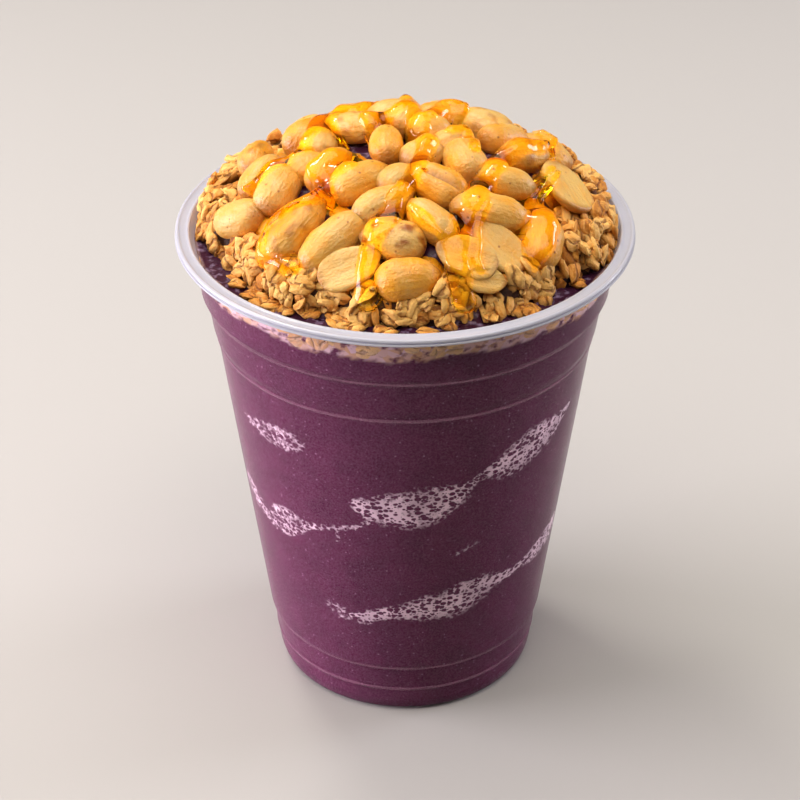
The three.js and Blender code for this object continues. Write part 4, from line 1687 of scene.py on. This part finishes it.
    def build(self) -> None:
        """Makes the core, then all the loose flakes as one piece."""
        oats = [ToastedOats().material()]
        self.build_core()
        groups = (
            self.heaped(self.heap_flakes, seed=31, scale=1.0, low=-1.5, high=1.1),
            self.heaped(self.crumbs, seed=41, scale=0.36, low=0.2, high=1.4),
            self.strewn(),
            self.pressed(),
        )
        loose = Flakes(*map(np.concatenate, zip(*groups)))
        own = loose.own + 7.0 * np.arange(len(loose.own))[:, None, None] * np.array([1, 0, 1])
        values = loose._asdict() | {"own": own}
        points = values.pop("points")
        rings = capped_faces(len(self.flake_rings), self.flake_columns)
        faces = repeated(rings, *points.shape[:2])
        seat(make_piece("granola_flakes", points, faces, oats, values), "granola", "granola")


# ---- honey --------------------------------------------------------------------------

# Ribbons of honey on the heap: rows of x, y and half width in mm.
HONEY_RIBBONS = (
    ((-6, 19.5, 1.5), (-9, 19, 2.2), (-12.5, 16.7, 2.6), (-15.6, 13.3, 2.6), (-16.5, 11, 2.4),
     (-20.4, 3.6, 2.0), (-24.7, -2, 2.2), (-28.8, -5.6, 1.8), (-31.7, -6.6, 1.0)),
    ((-10.6, -4.7, 1.6), (-14.6, -6, 2.2), (-17.4, -8.5, 2.4), (-16.4, -14, 2.2), (-18.3, -17, 1.6),
     (-22.7, -17.4, 1.5), (-25.6, -18.8, 1.4), (-28, -21.8, 1.5), (-28.9, -24.8, 1.3),
     (-26, -27.6, 1.7), (-22.9, -29.6, 1.9)),
    ((-14.5, -10.5, 2.4), (-12, -11, 2.4)),
    ((-0.6, -16.6, 1.4), (-1.8, -20.4, 1.6), (-2.3, -23.2, 1.8), (-3.3, -25.1, 2.4), (-5.6, -27, 2.6),
     (-6.8, -29.5, 2.4), (-7.2, -32, 2.2), (-8, -34.5, 1.9), (-7.6, -37.8, 1.9)),
    ((-1, 22.8, 1.2), (0.5, 17, 1.6), (1.4, 13.7, 2.0), (3, 3.7, 2.2), (5, -0.9, 2.2), (3.8, -7.3, 1.8),
     (2.2, -12.3, 1.8), (0.6, -16.6, 1.6), (-0.6, -19.7, 1.2)),
    ((5, 10.9, 1.6), (8.3, 16.7, 1.8), (11.9, 16.7, 1.4)),
    ((-7, 8, 2.0), (-5, 9, 2.2), (1, 12, 1.8), (5, 8, 1.8)),
    ((9.5, 2.6, 1.4), (12.8, 4.6, 1.8), (14.7, -0.4, 1.8), (13.8, -5.6, 1.2)),
    ((19, -7.2, 2.0), (20.7, -2.6, 2.0), (23.8, 2, 2.4), (26.8, 3.7, 2.6), (29, 8, 1.4)),
    ((28, 13.2, 0.6), (30.5, 11.3, 0.7), (30.9, 3.3, 0.6)),
    ((19, -7.2, 2.0), (17.3, -11.2, 2.2), (15.5, -15.8, 2.2), (13.9, -19.8, 2.0), (12.3, -23.3, 2.2),
     (11, -26.5, 2.4), (10.6, -29.2, 2.6), (10.2, -32, 2.4), (11, -34.2, 1.9), (11.4, -36.4, 1.9),
     (11.8, -37.6, 1.9)),
    ((15.8, -20.7, 1.2), (14.6, -24.5, 1.3), (14, -28.5, 1.5), (13.7, -31.3, 1.5), (14.8, -33, 0.9)),
    ((30.6, -1.4, 0.9), (28.7, -6.8, 0.7), (27.7, -11.8, 0.7), (27.5, -16, 1.0)),
    ((31.8, -2, 0.7), (30.3, -7.4, 0.6), (29.2, -12, 0.7), (28.5, -16, 1.2)),
    ((28.5, -16, 2.2), (27.4, -19.9, 3.0), (26.4, -23.5, 3.0), (25.6, -26.8, 2.2), (25.5, -28.9, 1.2)),
    ((1, -22.6, 1.0), (2.9, -24.8, 1.2), (5.2, -27.2, 1.2), (7.5, -28.9, 1.0)),
)


@dataclass
class Honey:
    """Honey as one sheet over the heap, seen from a centre deep inside it, in mm."""

    mound: Mound
    peanuts: Peanuts
    centre: tuple[float, float, float] = (2.0, -1.0, 98.0)
    half_angle: float = 82.0
    nodes: int = 300
    thickness: float = 1.05
    widening: float = 1.2
    tuck: float = 0.35
    bridge: int = 5
    sag: float = 0.8
    dip: float = 0.9
    bed_depth: float = 5.4
    beyond: float = 75.0  # this far from the centre everything ends
    spare: float = 0.8  # how far a nut's germ and dents reach past its length
    track_step: float = 0.5
    track_margin: float = 7.0

    def rays(self) -> Array:
        """Directions on a square grid: a node's offset is its angle from straight up.

        Returns:
            Directions of length 1.
        """
        side = np.radians(np.linspace(-self.half_angle, self.half_angle, self.nodes))
        u, v = np.meshgrid(side, side, indexing="xy")
        angle = np.hypot(u, v) + 1e-9
        flat = np.sin(angle) / angle
        return np.stack([u * flat, v * flat, np.cos(angle)], axis=-1)

    def out(self, rays: Array, distance: Array) -> Array:
        """Places at a distance from the centre along rays."""
        return np.array(self.centre) + distance[..., None] * rays

    def leaving(self, rays: Array, low: Array, high: Array, steps: int, level: Level) -> Array:
        """Where rays leave a shape, by halving the stretch between inside and outside.

        Args:
            rays: Directions from the centre.
            low: Distances that lie within.
            high: Distances that lie beyond.
            steps: How often the stretch is halved.
            level: Gives for places a measure that is below 0 within the shape.

        Returns:
            Distance in mm.
        """
        for _ in range(steps):
            middle = (low + high) / 2
            within = level(self.out(rays, middle)) < 0
            low, high = np.where(within, middle, low), np.where(within, high, middle)
        return low

    def distance_to(self, rays: Array, height: Callable[[Array, Array], Array]) -> Array:
        """Distance along rays to a surface.

        Args:
            rays: Directions from the centre.
            height: Gives the surface's height over x and y.

        Returns:
            Distance in mm.
        """

        def over(place: Array) -> Array:
            """How far a place lies over the surface."""
            return place[..., 2] - height(place[..., 0], place[..., 1])

        low = np.zeros(rays.shape[:-1])
        return self.leaving(rays, low, low + self.beyond, 26, over)

    def bed(self, x: Array, y: Array) -> Array:
        """Height of what lies between the peanuts: the acai, or the granola further out.

        Args:
            x: Places to the right in mm.
            y: Places to the back in mm.

        Returns:
            Height in mm.
        """
        ring = smooth(self.mound.share(x, y), 0.72, 0.8)
        raised = self.bed_depth - self.mound.granola_depth - 0.2
        return self.mound.top(x, y) - self.bed_depth + ring * raised

    def solid(self, rays: Array) -> Array:
        """Distance to the outermost solid on each ray: the bed, or the far side of a nut.

        A nut's far side is found by halving between the ray's nearest point to its middle
        and a point beyond it.

        Args:
            rays: Directions from the centre.

        Returns:
            Distance in mm.
        """
        far = self.distance_to(rays, self.bed)
        for i, middle in enumerate(self.peanuts.centres):
            level = partial(self.peanuts.inside, number=i)
            away = middle - np.array(self.centre)
            span = np.linalg.norm(away)
            reach = self.peanuts.sizes[i, 0] / 2 + self.spare
            close = rays @ (away / span) > math.cos(min(1.3, math.asin(min(1, reach / span))))
            ray = rays[close]
            scale = (self.peanuts.axes[i] / self.peanuts.sizes[i][:, None]).T
            a, b = ray @ scale, -away @ scale
            near = -(a @ b) / (a * a).sum(axis=1)
            hit = level(self.out(ray, near)) < 0
            edge = self.leaving(ray, near, np.full(len(ray), span + reach), 18, level)
            far[close] = np.where(hit, np.maximum(far[close], edge), far[close])
        return far

    def draped(self, solid: Array) -> Array:
        """Lets honey bridge the gaps: the widened and blurred surface, less what it sags.

        Args:
            solid: Distance to the solid at each node.

        Returns:
            Distance to the honey's lower envelope, never under the solid.
        """
        wide = solid.copy()
        steps = range(-self.bridge, self.bridge + 1)
        for blend, axis in ((np.max, 0), (np.max, 1), *[(np.mean, 0), (np.mean, 1)] * 2):
            wide = blend([np.roll(wide, step, axis) for step in steps], axis=0)
        return np.maximum(solid, wide - self.sag)

    def cover(self, skin: Array) -> Array:
        """How far inside a ribbon each point of the heap's surface lies.

        Each ribbon is drawn as points every half millimetre on the heap. The distance to the
        nearest is divided by the half width there, which wavers by a fifth.

        Args:
            skin: Where each ray leaves the heap's plain surface.

        Returns:
            The least distance over half width, over all ribbons.
        """
        best = np.full(skin.shape[:-1], 9.0)
        for number, ribbon in enumerate(HONEY_RIBBONS):
            run = np.array(ribbon, dtype=float)
            way = np.sum(np.linalg.norm(np.diff(run[:, :2], axis=0), axis=1))
            run = spread(run, max(3, int(way / self.track_step)))
            track = np.column_stack([run[:, :2], self.mound.top(run[:, 0], run[:, 1])])
            half = run[:, 2] * self.widening * (1 + 0.2 * waves(track, 5, 60 + number))
            size = np.ptp(track, axis=0) / 2 + self.track_margin
            box = np.all(np.abs(skin - track.mean(axis=0)) < size, axis=-1)
            near = skin[box]
            for part in np.array_split(np.arange(len(track)), max(1, len(track) // 12)):
                away = np.linalg.norm(near[:, None] - track[None, part], axis=-1) / half[part]
                best[box] = np.minimum(best[box], away.min(axis=1))
        return best

    def build(self) -> None:
        """Makes the sheet: an outer skin over the ribbons, and an inner one in the nuts.

        Under the outer skin lies a bed that follows the nuts but dips less than 0.9 mm below
        the honey's bridging level, and towards a ribbon's middle honey fills up to that level.
        """
        rays = self.rays()
        solid = self.solid(rays)
        skin = self.out(rays, self.distance_to(rays, self.mound.top))
        ratio = self.cover(skin)
        dome = np.sqrt(np.clip(1 - ratio**2, 0, 1))
        uneven = 1 + 0.35 * waves(skin, 6, 81)
        film = (self.thickness * uneven + self.tuck) * dome**1.5 - self.tuck
        level = self.draped(solid)
        bed = np.maximum(solid, level - self.dip) - solid
        bed = solid + bed * smooth(dome, 0, 0.4)
        fill = (level - bed) * smooth(dome, 0.25, 0.9)
        inner, outer = self.out(rays, solid - self.tuck), self.out(rays, bed + film + fill)
        wetted = (ratio < 1).ravel()
        cell = np.arange(self.nodes**2).reshape(self.nodes, self.nodes)
        faces = np.stack([cell[:-1, :-1], cell[:-1, 1:], cell[1:, 1:], cell[1:, :-1]], axis=-1)
        faces = faces.reshape(-1, 4)
        faces = faces[wetted[faces].any(axis=1)]
        below = np.where(wetted, cell.ravel() + self.nodes**2, cell.ravel())
        both = np.concatenate([faces, below[faces][:, ::-1]])
        used, compact = np.unique(both, return_inverse=True)
        points = np.concatenate([outer.reshape(-1, 3), inner.reshape(-1, 3)])[used]
        faces, honey = [compact.reshape(both.shape)], [RunnyHoney().material()]
        seat(make_piece("honey_drizzle", points, faces, honey), "honey", "peanuts")


# ---- all of it ----------------------------------------------------------------------


def build_all() -> None:
    """Builds the studio and then each sub-assembly, from the cup to the honey."""
    logging.basicConfig(level=logging.INFO, format="%(name)s: %(message)s")
    studio = Studio()
    studio.place_camera()
    studio.lay_floor()
    studio.light()
    wall, mound = Wall(), Mound()
    Cup(wall).build()
    Acai(wall, mound).build()
    peanuts = Peanuts(mound)
    peanuts.build()
    Granola(wall, mound, peanuts).build()
    Honey(mound, peanuts).build()


if __name__ == "__main__":
    build_all()
